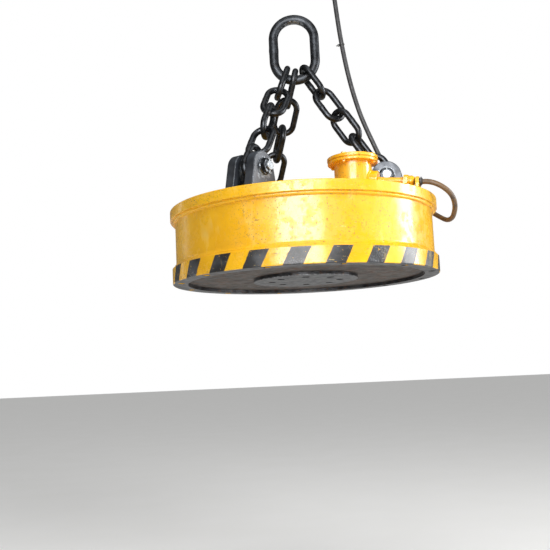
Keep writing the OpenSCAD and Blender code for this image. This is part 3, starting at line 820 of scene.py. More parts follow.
class Finishes:
    """Every finish on the object, each built once and kept by its slot in the record."""

    def __init__(self) -> None:
        """Builds the finishes."""
        kinds = {
            # graphite skin with a low sheen, rubbed bright where the bar bears
            "forged_steel": Metal("forged_alloy_steel_graphite", "#1B1D20", "#34373B", "#7C8085",
                                  30.0, 2.2, 0.25, (0.32, 0.50), 0.75, stain_share=0.2),
            # near black and a little glossier, with brown dust
            "chain_steel": Metal("alloy_chain_black_lacquer", "#16181B", "#2C2F33", "#6E7277",
                                 22.0, 1.6, 0.15, (0.26, 0.44), 0.7, stain_share=0.25),
            # cold dark grey over mill scale, paler on its edges
            "lug_paint": Metal("rolled_steel_grey_paint", "#272B31", "#3C4149", "#7C838A", 55.0, 1.8,
                               0.10, (0.34, 0.52), 0.25, edge=(0.28, 0.5), stain_share=0.15,
                               stain="#2B2A2A"),
            # dark oiled steel that mirrors what is near
            "pin_steel": Metal("turned_steel_oiled", "#2A2C2F", "#4A4D51", "#9A9EA2", 18.0, 0.8,
                               0.03, (0.28, 0.42), 1.0),
            # pale grey plating, the brightest metal outside
            "zinc_plate": Metal("zinc_plated_steel", "#6E7377", "#94999D", "#B9BDC0", 12.0, 1.0, 0.03,
                                (0.42, 0.58), 1.0, stain_share=0.15, stain="#8A8372"),
            "yellow_enamel": Enamel(),
            "striped_enamel": StripedEnamel(),
            # bare steel with drag marks and rust, its colours darkened as painted shade for the shadowed
            # underside
            "pole_steel": Metal("cast_steel_pole_shade_darkened", "#333335", "#565759", "#8B8C8E", 45.0, 2.5,
                                0.30, (0.28, 0.48), 0.95, (1.0, 0.12, 1.0), stain_share=0.35,
                                stain="#5A4334"),
            # rough brown scale, its colours darkened as painted shade for the shadowed underside
            "manganese_plate": Metal("manganese_plate_shade_darkened", "#352F2A", "#534B43", "#857D73",
                                     60.0, 3.0, 0.35, (0.42, 0.62), 0.85, stain_share=0.5,
                                     stain="#5E3E28"),
            "coil_strip": WoundStrip(),
            # straw-coloured laminate, half glossy
            "insulation_board": Moulded("glass_laminate_board", "#B9A26B", "#8E7A4E", 20.0, 0.8, 0.04,
                                        (0.35, 0.5)),
            # red-brown resin with slow waves
            "potting": Moulded("potting_resin_red_brown", "#5B2E20", "#7A4A38", 25.0, 3.0, 0.10,
                               (0.25, 0.4)),
            # blue-black bolt heads, worn at the corners
            "socket_bolt": Metal("black_oxide_socket_bolt", "#1E1F22", "#3A3C40", "#8A8D90", 10.0, 0.8,
                                 0.04, (0.30, 0.46), 0.9),
            # soft black with dust in its corners
            "rubber_part": Moulded("epdm_rubber_moulded", "#1D1D1F", "#4A4742", 14.0, 0.6, 0.04),
            "cable_sheath": CableSheath(),
            # warm yellow metal with a fine turned sheen
            "brass": Metal("turned_brass", "#A9873F", "#D1AE5E", "#E8CF8C", 14.0, 0.7, 0.02,
                           (0.24, 0.38), 1.0),
            # dull red sleeving
            "lead_sleeve": Moulded("silicone_lead_sleeve", "#8E2A1E", "#A8604F", 10.0, 0.5, 0.03),
            # smooth black plastic
            "tie_nylon": Moulded("nylon_tie_moulded", "#1B1C1E", "#3C3C3B", 8.0, 0.5, 0.02, (0.35, 0.5)),
            # pale cast metal with a fine sand grain
            "plug_alloy": Metal("cast_aluminium_connector", "#8F9295", "#B9BCBF", "#DCDEE0", 16.0, 1.2,
                                0.10, (0.36, 0.54), 1.0),
        }
        self.by_slot = {slot: kind.build() for slot, kind in kinds.items()}

    def __getitem__(self, slot: str) -> bpy.types.Material:
        """The material of a slot."""
        return self.by_slot[slot]


@dataclass
class Group:
    """Pieces that share the finishes and one way to be written and placed."""

    finishes: Finishes

    def piece(
        self, name: str, body: str, slot: str, node: str, patches: list, at: Place | None = None
    ) -> bpy.types.Object:
        """Writes a piece with its slot's finish, puts it on its body and lets it stand for its node.

        Args:
            name: the piece's name.
            body: the CAD body it moves with.
            slot: the record's material slot.
            node: the CAD node it stands for.
            patches: its surfaces; one whose finish isn't the piece's comes paired with its slot.
            at: the place that the surfaces are given in; the object's own frame if left out.

        Returns:
            The piece.
        """
        pairs = [p if isinstance(p, tuple) else (p, slot) for p in patches]
        parts = [(p if at is None else p.placed(at), self.finishes[s]) for p, s in pairs]
        return place_piece(write_mesh(name, parts), body, slot, node)


# ---------------------------------------------------------------------------
# Camera, lights and floor
# ---------------------------------------------------------------------------


class Panel(Enum):
    """Soft panels: place in metres, width, height, brightness, what they show in, and their aim."""

    KEY = ((2.6, -3.6, 0.8), 2.0, 2.0, 16.0, "matt", (0.0, 0.0, -0.9))
    TOP = ((0.4, -1.6, 2.6), 3.0, 3.0, 2.0, "both", (0.0, 0.0, -0.9))
    FRONT_GLOSS = ((-0.23, -4.41, -0.2), 2.75, 2.6, 21.0, "gloss", (-0.07, -0.53, -0.95))
    RIGHT_GLOSS = ((4.34, 0.19, -0.28), 1.4, 2.6, 22.0, "gloss", (0.38, -0.37, -0.95))
    RIGHT_FILL = ((4.04, -1.8, -0.2), 1.2, 2.6, 3.0, "gloss", (0.28, -0.45, -0.95))
    LEFT_GLOSS = ((-3.7, 2.0, -0.2), 0.35, 2.6, 2.0, "gloss", (-0.45, -0.28, -0.95))


@dataclass
class Studio:
    """Camera, soft lights, white surroundings and a plain pale floor."""

    camera_m: tuple = (0.0, -3.113, -1.454)
    yaw: float = 0.0407
    pitch: float = 0.1177
    roll: float = -0.0458
    lens: float = 49.39
    floor_m: float = -2.4
    floor_size_m: float = 60.0
    room_light: float = 0.55
    room_gloss: float = 0.15

    def add_camera(self) -> None:
        """Sets the camera: forward by yaw and pitch, then rolled about its own line of sight."""
        cy, sy, cp, sp = np.cos(self.yaw), np.sin(self.yaw), np.cos(self.pitch), np.sin(self.pitch)
        forward = np.array([-sy * cp, cy * cp, sp])
        right = np.array([cy, sy, 0.0])
        up = np.cross(right, forward)
        cr, sr = np.cos(self.roll), np.sin(self.roll)
        x, y = cr * right + sr * up, -sr * right + cr * up
        matrix = Matrix(np.stack([x, y, -forward], 1).tolist()).to_4x4()
        matrix.translation = Vector(self.camera_m)
        data = bpy.data.cameras.new("studio_camera")
        data.lens = self.lens
        data.sensor_width = 36.0
        camera = bpy.data.objects.new("studio_camera", data)
        camera.matrix_world = matrix
        bpy.context.scene.collection.objects.link(camera)
        bpy.context.scene.camera = camera

    def add_light(self, panel: "Panel") -> None:
        """Adds one soft panel, aimed at the middle of the drum's wall.

        Args:
            panel: where it stands, its size and its brightness.
        """
        at, width, height, glow, seen_in, aim = panel.value
        data = bpy.data.lights.new(panel.name.lower(), "AREA")
        data.shape, data.size, data.size_y = "RECTANGLE", width, height
        data.energy = glow * np.pi * width * height
        light = bpy.data.objects.new(panel.name.lower(), data)
        light.matrix_world = (Vector(aim) - Vector(at)).to_track_quat("-Z", "Y").to_matrix().to_4x4()
        light.location = at
        light.visible_diffuse = seen_in != "gloss"
        light.visible_glossy = seen_in != "matt"
        bpy.context.scene.collection.objects.link(light)

    def add_surroundings(self) -> None:
        """White seen straight on, and a softer light of the same white on the object."""
        world = bpy.data.worlds.new("white_studio")
        world.use_nodes = True
        tree = world.node_tree
        tree.nodes.clear()
        ray = add_node(tree, "ShaderNodeLightPath").outputs
        glossy = {0: ray["Is Glossy Ray"], 3: self.room_light, 4: self.room_gloss}
        fall = add_node(tree, "ShaderNodeMapRange", glossy).outputs[0]
        seen = {0: ray["Is Camera Ray"], 3: fall, 4: 1.0}
        strength = add_node(tree, "ShaderNodeMapRange", seen).outputs[0]
        light = add_node(tree, "ShaderNodeBackground", {0: (1.0, 1.0, 1.0, 1.0), 1: strength})
        add_node(tree, "ShaderNodeOutputWorld", {0: light.outputs[0]})
        bpy.context.scene.world = world
        bpy.context.scene.view_settings.view_transform = "Standard"

    def build(self) -> None:
        """Adds the camera, the panels, the white surroundings and the floor."""
        self.add_camera()
        for panel in Panel:
            self.add_light(panel)
        self.add_surroundings()
        half = self.floor_size_m / 2
        corners = np.array([[-half, -half, 0], [half, -half, 0], [half, half, 0], [-half, half, 0]])
        mesh = bpy.data.meshes.new("studio_floor")
        mesh.from_pydata((corners + [0, 0, self.floor_m]).tolist(), [], [[0, 1, 2, 3]])
        floor = bpy.data.objects.new("studio_floor", mesh)
        p = Painter("pale_painted_floor")
        tone = p.mix(p.noise(400.0), "#F1F1EF", "#F6F6F5")
        mesh.materials.append(p.finish(p.noise(3.0), 0.05, {"Base Color": tone, "Roughness": 0.7}))
        bpy.context.scene.collection.objects.link(floor)


# ---------------------------------------------------------------------------
# Feed cable
# ---------------------------------------------------------------------------


@dataclass
class FeedCable(Group):
    """The rubber feed cable from the rim's bushing, round outside the rim and up to its plug."""

    diameter: float = 20.0
    route: tuple = (
        (466, -264, 34), (482, -269, 32), (502, -274, 26), (521, -276, 17), (541, -273, 5),
        (560, -264, -9), (577, -245, -25), (590, -213, -42), (599, -168, -58), (606, -95, -71),
        (608, -40, -73), (606, 15, -69), (601, 62, -58), (590, 104, -40), (572, 138, -18),
        (549, 161, 2), (522, 172, 17), (494, 172, 38), (466, 164, 66), (438, 150, 100),
        (412, 135, 136), (387, 118, 172), (363, 104, 210), (341, 94, 252), (320, 88, 302),
        (297, 85, 360), (273, 85, 430), (252, 85, 510), (235, 85, 590), (220, 85, 680),
        (207, 85, 780), (198, 85, 870), (190, 85, 965),
    )
    tie_at: tuple = (210.0, 85.0, 755.0)
    grip_length: float = 46.0
    grip_ribs: int = 6
    ring_length: float = 22.0
    ring_d: float = 62.0
    body_d: float = 54.0
    body_flange_d: float = 64.0
    body_length: float = 78.0
    socket_d: float = 42.0
    socket_depth: float = 30.0
    sides: int = 28
    per_span: int = 10

    def curve(self) -> np.ndarray:
        """The centreline, in millimetres; the route's heights are above the top plate."""
        return catmull(np.array(self.route, float) + [0.0, 0.0, PLATE_Z], self.per_span)

    def end_place(self) -> Place:
        """The cable's upper end, with its third axis along the cable."""
        line = self.curve()
        return Place(line[-1], along(line[-1] - line[-2], np.array([0.0, 1.0, 0.0])))

    def build_sheath(self) -> bpy.types.Object:
        """A circle carried along the centreline, with a UV map of turns and metres run."""
        line = self.curve()
        material = self.finishes["cable_sheath"]
        cable = write_mesh("feed_cable", [(swept(line, self.diameter / 2, self.sides), material)])
        mesh = cable.data
        run = np.concatenate([[0.0], np.cumsum(np.linalg.norm(np.diff(line, axis=0), axis=1))]) * MM
        points = read_all(mesh.vertices, "co", 3) / MM
        near = np.argmin(np.linalg.norm(points[:, None] - line[None], axis=2), axis=1)
        tangent = unit(np.gradient(line, axis=0))[near]
        side = unit(np.array([0.0, 0.0, 1.0]) - tangent * tangent[:, 2:])
        off = points - line[near]
        turn = np.arctan2((off * np.cross(tangent, side)).sum(1), (off * side).sum(1)) / (2 * np.pi)
        loops = read_all(mesh.loops, "vertex_index", kind=np.int32)
        uv = np.stack([turn[loops], run[near][loops]], -1)
        counts = read_all(mesh.polygons, "loop_total", kind=np.int32)
        owner = np.repeat(np.arange(len(counts)), counts)
        highest = np.full(len(counts), -1.0)
        np.maximum.at(highest, owner, uv[:, 0])
        uv[:, 0] += (highest[owner] - uv[:, 0] > 0.5).astype(float)
        layer = mesh.uv_layers.new(name="around_and_along")
        layer.data.foreach_set("uv", uv.astype(np.float32).ravel())
        return cable

    def build_tie(self) -> bpy.types.Object:
        """A cable tie: a thin strap round the sheath, its square head and a cut tail."""
        line = self.curve()
        at = np.array(self.tie_at) + [0.0, 0.0, PLATE_Z]
        near = int(np.argmin(np.linalg.norm(line - at, axis=1)))
        frame = Place(line[near], along(line[near + 1] - line[near - 1], np.array([0.0, 1.0, 0.0])))
        inside = self.diameter / 2 + 0.2
        strap = tube(inside, inside + 1.8, -3, 3, 0.6)
        head = slab(box_outline(9.0, 8.0, 1.2, 4), -4.5, 4.5, 0.9).moved(0.0, inside + 4.2, 0.0)
        tail = slab(box_outline(1.4, 12.0, 0.5, 4), -2.2, 2.2, 0.4).moved(2.5, inside + 9.0, 0.0)
        return self.piece("cable_tie_strap", MAGNET, "tie_nylon", "cable_tie", [strap, head, tail], frame)

    def build_grip(self) -> bpy.types.Object:
        """The moulded strain relief, tapered, with ribs: its radius grows along its length and
        dips by a smooth wave at each rib."""
        end = self.grip_length
        z = np.linspace(0.0, end - 12, 66)
        share = z / z[-1]
        wave = 0.5 + 0.5 * np.cos(2 * np.pi * self.grip_ribs * share)
        dip = 1.3 * wave * np.sin(np.pi * share.clip(0.04, 0.96))
        r = self.diameter / 2 + 3.6 + share * 7 - dip
        collar = [[20, z[-1]], [21, z[-1] + 1.5], [21, end - 1.5], [20, end], [0, end]]
        body = turned_solid(np.concatenate([[[0, 0]], np.stack([r, z], -1), collar]), None, 48, False)
        return self.piece(
            "plug_strain_relief", MAGNET, "rubber_part", "cable_grip", [body], self.end_place()
        )

    def build_ring(self) -> bpy.types.Object:
        """The knurled coupling ring: radius R - 1.1 (1 - |cos(12 a)|), with chamfered ends."""
        a = np.linspace(0.0, 2 * np.pi, 192, endpoint=False)
        outer = self.ring_d / 2 - 0.6 - 1.1 * (1 - np.abs(np.cos(12 * a)))
        low, high = self.grip_length, self.grip_length + self.ring_length
        rows = [(0, low), (outer - 3, low), (outer - 1, low + 0.8), (outer, low + 2.5),
                (outer, high - 2.5), (outer - 1, high - 0.8), (outer - 3, high), (0, high)]
        points = np.stack([polar(r, a, z) for r, z in rows])
        ring = loft(points, np.array([0, 0, 1, 0.5, 0.5, 1, 0, 0]))
        return self.piece("plug_coupling_ring", MAGNET, "zinc_plate", "plug_ring", [ring], self.end_place())

    def build_plug(self) -> bpy.types.Object:
        """The connector's shell with its flange and socket, and three brass contacts in it."""
        z0 = self.grip_length + self.ring_length
        z1 = z0 + self.body_length
        r, s, flange = self.body_d / 2, self.socket_d / 2, self.body_flange_d / 2
        floor = z1 - self.socket_depth
        shell, wear = rounded(
            [(0, z0), (r, z0), (r, z0 + 20), (flange, z0 + 20), (flange, z0 + 30), (r, z0 + 30), (r, z1),
             (s, z1), (s, floor), (0, floor)],
            [0, 1.5, 1.2, 1.5, 1.5, 1.2, 2, 1, 1.2, 0], shut=False,
        )
        patches = [turned_solid(shell, wear, 96, False)]
        root, tip = floor - 0.5, z1 - 9
        for angle in np.radians([90, 210, 330]):
            corners = [(0, root), (3.5, root), (3.5, tip), (0, tip + 2)]
            contact = turned_round(corners, [0, 0.5, 1.5, 0], 20, False)
            patches.append((contact.moved(11 * np.cos(angle), 11 * np.sin(angle)), "brass"))
        return self.piece("plug_shell", MAGNET, "plug_alloy", "plug_body", patches, self.end_place())

    def build(self) -> None:
        cable = place_piece(self.build_sheath(), MAGNET, "cable_sheath", "cable")
        fitted = [self.build_tie(), self.build_grip(), self.build_ring(), self.build_plug()]
        line = self.curve() * MM
        length = float(np.linalg.norm(np.diff(line, axis=0), axis=1).sum())


# ---------------------------------------------------------------------------
# Sling
# ---------------------------------------------------------------------------


@dataclass
class ForgedLink(Group):
    """One oblong link, measured from its CAD node: two half circles joined by straights."""

    node: str
    body: str
    cad: bpy.types.Object
    slot: str = "chain_steel"
    sides: int = 24
    per_end: int = 28
    per_side: int = 24
    seam_bulge: float = 0.06
    seam_mm: float = 7.0

    def measured(self) -> tuple[Place, np.ndarray]:
        """Finds the link's axes as the directions in which its points spread most, next and
        least, and its size along each.

        Returns:
            Its place, with the long way first, and its three sizes in millimetres.
        """
        points = read_all(self.cad.data.vertices, "co", 3) / MM
        _, _, axes = np.linalg.svd(points - points.mean(0), full_matrices=False)
        axes[2] = np.cross(axes[0], axes[1])
        reach = points @ axes.T
        low, high = reach.min(0), reach.max(0)
        return Place((low + high) / 2 @ axes, axes), high - low

    def build(self) -> bpy.types.Object:
        """Builds the link. Round the end the centreline is a half circle and along the sides a
        straight; the bar swells by seam_bulge exp(-(s/seam)^2) at the butt weld in one straight,
        and both crowns are marked as worn."""
        at, size = self.measured()
        bar = size[2]
        r = (size[1] - bar) / 2
        half = (size[0] - size[1]) / 2
        a = np.linspace(-np.pi / 2, np.pi / 2, self.per_end, endpoint=False)
        end = np.stack([half + r * np.cos(a), r * np.sin(a), 0 * a], -1)
        s = np.linspace(half, -half, self.per_side, endpoint=False)
        straight = np.stack([s, r + 0 * s, 0 * s], -1)
        turn = np.array([-1.0, -1.0, 1.0])
        path = np.concatenate([end, straight, end * turn, straight * turn])
        radius = np.full(len(path), bar / 2)
        seam = np.exp(-((path[:, 0] / self.seam_mm) ** 2)) * (path[:, 1] > 0)
        radius *= 1 + self.seam_bulge * seam
        body = swept(path, radius, self.sides, True)
        inward = np.repeat(np.maximum(np.abs(path[:, 0]) - half, 0) / r, self.sides)
        centre = np.repeat(path, self.sides, 0)
        facing = -(unit(body.points - centre) * unit(centre - [0, 0, 1e-9])).sum(1)
        body.wear = (inward * np.clip(facing * 1.2, 0.0, 1.0)).clip(0, 1)
        return self.piece(f"{self.node}_forged", self.body, self.slot, self.node, [body], at)


@dataclass
class Sling(Group):
    """The master link and the three legs of five links each."""

    nodes: dict
    legs: str = "abc"
    links: int = 5

    def build(self) -> None:
        """Builds every link on its own body; the master link has a finer mesh and a longer weld."""
        name = "master_link"
        ForgedLink(
            self.finishes, name, name, self.nodes[name], "forged_steel", sides=32, per_end=40,
            per_side=30, seam_bulge=0.05, seam_mm=14.0,
        ).build()
        for leg in self.legs:
            for i in range(1, self.links + 1):
                name = f"leg_{leg}_link_{i}"
                ForgedLink(self.finishes, name, f"leg_{leg}_{i}", self.nodes[name]).build()


# ---------------------------------------------------------------------------
# Lugs with their pins
# ---------------------------------------------------------------------------


@dataclass
class Lug(Group):
    """A two-cheek lug on its pad, with the pin, nut and split pin that hold the last link."""

    letter: str
    angle: float
    nut_side: float
    ring_r: float = 353.0
    pad: tuple = (200.0, 160.0, 12.0)
    cheek_w: float = 170.0
    cheek_t: float = 40.0
    gap: float = 50.0
    top_r: float = 62.0
    pin_h: float = 110.0
    bore: float = 50.1
    pin_d: float = 50.0
    head: tuple = (74.0, 14.0)
    stem: tuple = (36.0, 30.0)
    flange: tuple = (66.0, 6.0)
    nut: tuple = (55.0, 15.0)
    split_d: float = 5.0
    slack: float = 0.5
    edge: float = 3.5
    pad_corner: float = 9.0
    cheek_weld: float = 5.5
    pad_weld: float = 6.0
    eye_r: float = 4.6

    def place(self) -> Place:
        """The lug's frame: X outwards, Y along the pin and Z up, on the top plate."""
        a = np.radians(self.angle)
        return Place(
            np.array([self.ring_r * np.cos(a), self.ring_r * np.sin(a), PLATE_Z]), turn_z(self.angle)
        )

    def pin_place(self) -> Place:
        """The pin's frame: Z along the pin towards its nut, from the middle of the lug."""
        s = self.nut_side
        axes = np.array([[1.0, 0.0, 0.0], [0.0, 0.0, -s], [0.0, s, 0.0]])
        return self.place().within([0.0, 0.0, self.pin_h], axes)

    def outline(self) -> np.ndarray:
        """A cheek's outline round its bore, seen along the pin: an arc over the top, straights
        that touch it, and a foot with small rounded corners; the origin is the pin's centre."""
        foot = np.array([self.cheek_w / 2, self.pad[2] - self.pin_h])
        turn = np.arctan2(foot[1], foot[0]) + np.arccos(self.top_r / np.linalg.norm(foot))
        a = np.linspace(turn, np.pi - turn, 40)
        arc = self.top_r * np.stack([np.cos(a), np.sin(a)], -1)
        s = np.linspace(0.0, 1.0, 12, endpoint=False)[1:, None]
        mirrored = foot * [-1, 1]
        return np.concatenate([
            arc, arc[-1] * (1 - s) + mirrored * s, [mirrored], mirrored * (1 - s) + foot * s, [foot],
            foot * (1 - s) + arc[0] * s,
        ])

    def seat(self) -> float:
        """How far along the pin its head and its nut bear, from the middle."""
        return self.gap / 2 + self.cheek_t + self.slack

    def build_body(self) -> None:
        """The pad, both cheeks with their bore, and the fillet welds at every foot."""
        at = self.place()
        line = self.outline()
        bore = unit(line) * self.bore / 2
        wide, deep, thick = self.pad
        upright = at.within([0.0, 0.0, self.pin_h], [[1, 0, 0], [0, 0, 1], [0, -1, 0]])
        patches = [slab(line, low, low + self.cheek_t, self.edge, bore).placed(upright)
                   for low in (self.gap / 2, -self.gap / 2 - self.cheek_t)]
        patches.append(slab(box_outline(wide, deep, self.pad_corner), 0.0, thick, 2.5).placed(at))
        rim = raised(box_outline(self.cheek_w + 2, self.cheek_t + 2, 4.0), thick + 1.0)
        for side in (-1, 1):
            bead = weld(rim, self.cheek_weld, 8.0, True).moved(y=side * (self.gap + self.cheek_t) / 2)
            patches.append(bead.placed(at))
        foot = raised(box_outline(wide + 1, deep + 1, self.pad_corner), 1.5)
        patches.append(weld(foot, self.pad_weld, 9.0, True).placed(at))
        x = self.letter
        self.piece(f"lug_{x}_welded", MAGNET, "lug_paint", f"lug_{x}", patches)

    def build_pin(self) -> None:
        """The pin: head, shank and the reduced stem under the nut, turned about its axis."""
        end, x = self.seat(), self.letter
        r, h, s = self.pin_d / 2, self.head[0] / 2, self.stem[0] / 2
        back, front = -end - self.head[1], end + self.stem[1]
        shape = turned_round(
            [(0, back), (h, back), (h, -end), (r, -end), (r, end), (s, end), (s, front), (0, front)],
            [0, 3, 1.2, 0.8, 1.5, 0.8, 2, 0], 72, False,
        )
        self.piece(f"pin_{x}_turned", f"pin_{x}", "zinc_plate", f"pin_{x}", [shape], self.pin_place())

    def build_nut(self) -> None:
        """The flanged nut: a dished washer face under a chamfered hexagon."""
        z, x = self.seat(), self.letter
        r, thick = self.flange[0] / 2, self.flange[1]
        bore = self.stem[0] / 2 + 0.05
        washer = turned_round(
            [(bore, z), (r, z), (r, z + thick / 2), (self.nut[0] / 2 + 1, z + thick), (bore, z + thick)],
            [0.4, 0.8, 1.0, 1.5, 0.4], 72,
        )
        hexed = hexagon(self.nut[0], z + thick - 0.5, z + thick + self.nut[1], bore=2 * bore)
        patches, at = [washer, hexed], self.pin_place()
        self.piece(f"pin_nut_{x}_flanged", f"pin_{x}", "pin_steel", f"pin_nut_{x}", patches, at)

    def build_split_pin(self) -> None:
        """The split pin: an eye, two legs through the stem, and their ends bent apart."""
        z, x = self.seat() + self.flange[1] + self.nut[1] + 4.0, self.letter
        half, wire = self.stem[0] / 2, self.split_d * 0.3
        a = np.linspace(-0.75 * np.pi, 0.75 * np.pi, 20)
        eye = np.stack([self.eye_r * np.sin(a), half + 11 + self.eye_r * np.cos(a), 0 * a], -1)
        bend = np.array([(0.8, half + 4, 0), (0.8, -half - 1.5, 0), (2.0, -half - 4.5, 0),
                         (5.0, -half - 6.0, 0), (9.0, -half - 6.2, 0)])
        neck = np.array([[0, half + 3.0, 0], [0, half + 8.5, 0]])
        wires = [(catmull(bend, 6), wire), (catmull(bend * [-1, 1, 1], 6), wire), (eye, wire * 1.15),
                 (neck, wire * 1.4)]
        patches = [swept(path, radius, 12).moved(z=z) for path, radius in wires]
        self.piece(
            f"split_pin_{x}_bent", f"pin_{x}", "zinc_plate", f"split_pin_{x}", patches, self.pin_place()
        )

    def build(self) -> None:
        """Builds the lug on the magnet and the pin's pieces on the pin."""
        for build in (self.build_body, self.build_pin, self.build_nut, self.build_split_pin):
            build()


# ---------------------------------------------------------------------------
# Magnet body
# ---------------------------------------------------------------------------


class Dents(Enum):
    """Where the drum wall has been knocked: angle in degrees, height share, width and depth in mm."""

    FRONT = (-101.0, 0.62, 70.0, 1.1)
    FRONT_LOW = (-88.0, 0.30, 45.0, 0.8)
    RIGHT = (-63.0, 0.55, 60.0, 1.2)
    RIGHT_LOW = (-55.0, 0.25, 38.0, 0.7)
    LEFT = (-140.0, 0.50, 80.0, 0.8)
    BACK = (70.0, 0.45, 90.0, 1.4)
    BACK_LEFT = (150.0, 0.60, 60.0, 1.0)
    FAR_RIGHT = (5.0, 0.35, 70.0, 0.9)


@dataclass
class MagnetBody(Group):
    """Top plate, drum wall and pole ring of the pot, with the parts seen from below."""

    plate_r: float = 550.0
    plate_t: float = 40.0
    drum_r: float = 530.0
    drum_in_r: float = 498.0
    ring_r: float = 546.0
    ring_in_r: float = 485.0
    ring_top: float = -1055.0
    face: float = -1117.0
    shoulder: float = 20.0
    weld_leg: float = 12.0
    lead_hole: tuple = (208.0, -190.0, 30.0)
    bolts: int = 12
    bolt_r: float = 514.0
    bolt_start: float = 15.0
    shoe_r: float = 215.0
    shoe_t: float = 35.0
    shoe_bolts: int = 8
    shoe_bolt_r: float = 140.0
    sides: int = 384
    wall_rows: int = 36

    def build_plate(self) -> None:
        """The top plate with the hole for the coil's leads. Its columns are rays from the hole, and
        each meets the rim at the distance that puts it on the plate's circle."""
        x, y, r = self.lead_hole
        a = np.linspace(0.0, 2 * np.pi, self.sides, endpoint=False)
        ray = np.stack([np.cos(a), np.sin(a)], -1)
        hub = np.array([x, y])
        reach = -(ray @ hub) + np.sqrt((ray @ hub) ** 2 - hub @ hub + self.plate_r**2)
        rim = hub + ray * reach[:, None]
        plate = slab(rim, PLATE_Z - self.plate_t, PLATE_Z, 2.5, hub + ray * r)
        self.piece("top_plate_rolled", MAGNET, "yellow_enamel", "top_plate", [plate])

    def build_drum(self) -> None:
        """The drum: wall, tapered shoulder and the ripple weld under the flange. The wall's radius
        is less by a sum of dents, each depth exp(-(distance/width)^2)."""
        under = PLATE_Z - self.plate_t
        low, high = self.ring_top + self.shoulder, under - self.weld_leg
        line, wear = rounded(
            [(self.drum_in_r, self.ring_top), (self.ring_r - 4, self.ring_top), (self.drum_r, low),
             (self.drum_r, high), (self.drum_r + self.weld_leg, under), (self.drum_in_r, under)],
            [1, 1.5, 5, 3, 1, 1],
        )
        per = len(line) // 6
        cut = 3 * per
        z = np.linspace(low + 9, high - 7, self.wall_rows)
        wall = np.stack([np.full_like(z, self.drum_r), z], -1)
        profile = np.concatenate([line[:cut], wall, line[cut:]])
        worn = np.concatenate([wear[:cut], 0 * z, wear[cut:]]) * 0.8
        drum = turned_solid(profile, worn, self.sides)
        angle = np.arctan2(drum.points[:, 1], drum.points[:, 0])
        outside = np.hypot(drum.points[:, 0], drum.points[:, 1]) > self.drum_r - 0.5
        depth = np.zeros(len(drum.points))
        for dent in Dents:
            at, share, width, deep = dent.value
            arc = np.angle(np.exp(1j * (angle - np.radians(at)))) * self.drum_r
            rise = drum.points[:, 2] - (low + share * (high - low))
            depth += deep * np.exp(-(arc**2 + rise**2) / width**2)
        depth += 0.35 * np.sin(5 * angle + 0.7) * np.sin(3 * angle)
        inset = np.where(outside & (drum.points[:, 2] < high) & (drum.points[:, 2] > low), depth, 0.0)
        edge = np.clip(np.minimum(drum.points[:, 2] - low, high - drum.points[:, 2]) / 12.0, 0, 1)
        scale = 1 - inset * edge / self.drum_r
        drum.points[:, :2] *= scale[:, None]
        bead = weld(circle(self.drum_r + 4.5, under - 4.5, self.sides), 7.2, 8.0, True, 10)
        seam = weld(circle(self.drum_r + 6.0, low - self.shoulder * 0.55, self.sides), 1.6, 9.0, True, 6)
        self.piece("drum_wall_rolled", MAGNET, "yellow_enamel", "drum_shell", [drum, bead, seam])

    def drilled(self, outer: float, inner: float, low: float, high: float, count: int, at_r: float,
                start: float, holes: list, edge: float, per: int = 16) -> Patch:
        """A ring or disc with a circle of stepped holes. Each sector's face is stretched between
        its hole and its own border; the border's arc points are the wall's columns, so the faces,
        the walls and the holes meet point to point.

        Args:
            outer: outer radius.
            inner: inner radius.
            low: height of the lower face.
            high: height of the upper face.
            count: number of holes.
            at_r: radius of the holes' circle.
            start: angle of the first hole in degrees.
            holes: (radius, height) down each hole's wall, from the lower face to the upper.
            edge: radius of the lower outer edge's rounding.
            per: points on each arc and each side of a sector.

        Returns:
            The surface.
        """
        half = np.pi / count
        arc = np.linspace(-half, half, per + 1)[:-1]
        side = np.linspace(0.0, 1.0, per + 1)[:-1]
        off = np.concatenate([arc, half + 0 * side, -arc, -half + 0 * side])
        steps = rounding(edge)[::-1]
        faces = ((low, outer - 1.5 * edge, holes[0][0]), (high, outer, holes[-1][0]))
        patches = []
        for k in range(count):
            mid = np.radians(start) + 2 * half * k
            hub = at_r * np.array([np.cos(mid), np.sin(mid)])
            way = np.stack([np.cos(mid + off), np.sin(mid + off)], -1)
            ways = []
            for z, flat_r, hole_r in faces:
                radius = np.concatenate([flat_r + 0 * arc, flat_r + (inner - flat_r) * side,
                                         inner + 0 * arc, inner + (flat_r - inner) * side])
                border = radius[:, None] * way
                ways.append(unit(border - hub))
                rim = hub + hole_r * ways[-1]
                levels = [rim * (1 - s) + border * s for s in (0.0, 0.12, 0.5, 1.0)]
                patches.append(loft(np.stack([raised(p, z) for p in levels])))
            rows = [raised(hub + r * ways[i == len(holes) - 1], z) for i, (r, z) in enumerate(holes)]
            patches.append(loft(np.stack(rows)))
        total = count * per
        a = np.radians(start) - half + 2 * np.pi * np.arange(total) / total
        heights = np.linspace(low + 2 * edge, high, 8)
        lower = np.stack([outer - steps[::-1, 0], low + steps[::-1, 1]], -1)
        wall = np.concatenate([lower, np.stack([outer + 0 * heights, heights], -1)])
        worn = np.concatenate([[0], np.ones(len(lower) - 2) * 0.8, [0.2], 0 * heights])
        patches.append(loft(np.stack([polar(r, a, z) for r, z in wall]), worn))
        if inner > 0:
            patches.append(loft(np.stack([polar(inner, a, z) for z in (low, high)])))
        return joined(patches)

    def pocket(self, head_r: float, depth: float, shank_r: float, top: float) -> list:
        """A bolt's stepped hole as (radius, height), from the pole face up to a height."""
        floor = self.face + depth
        return [(head_r, self.face), (head_r, floor), (shank_r, floor), (shank_r, top)]

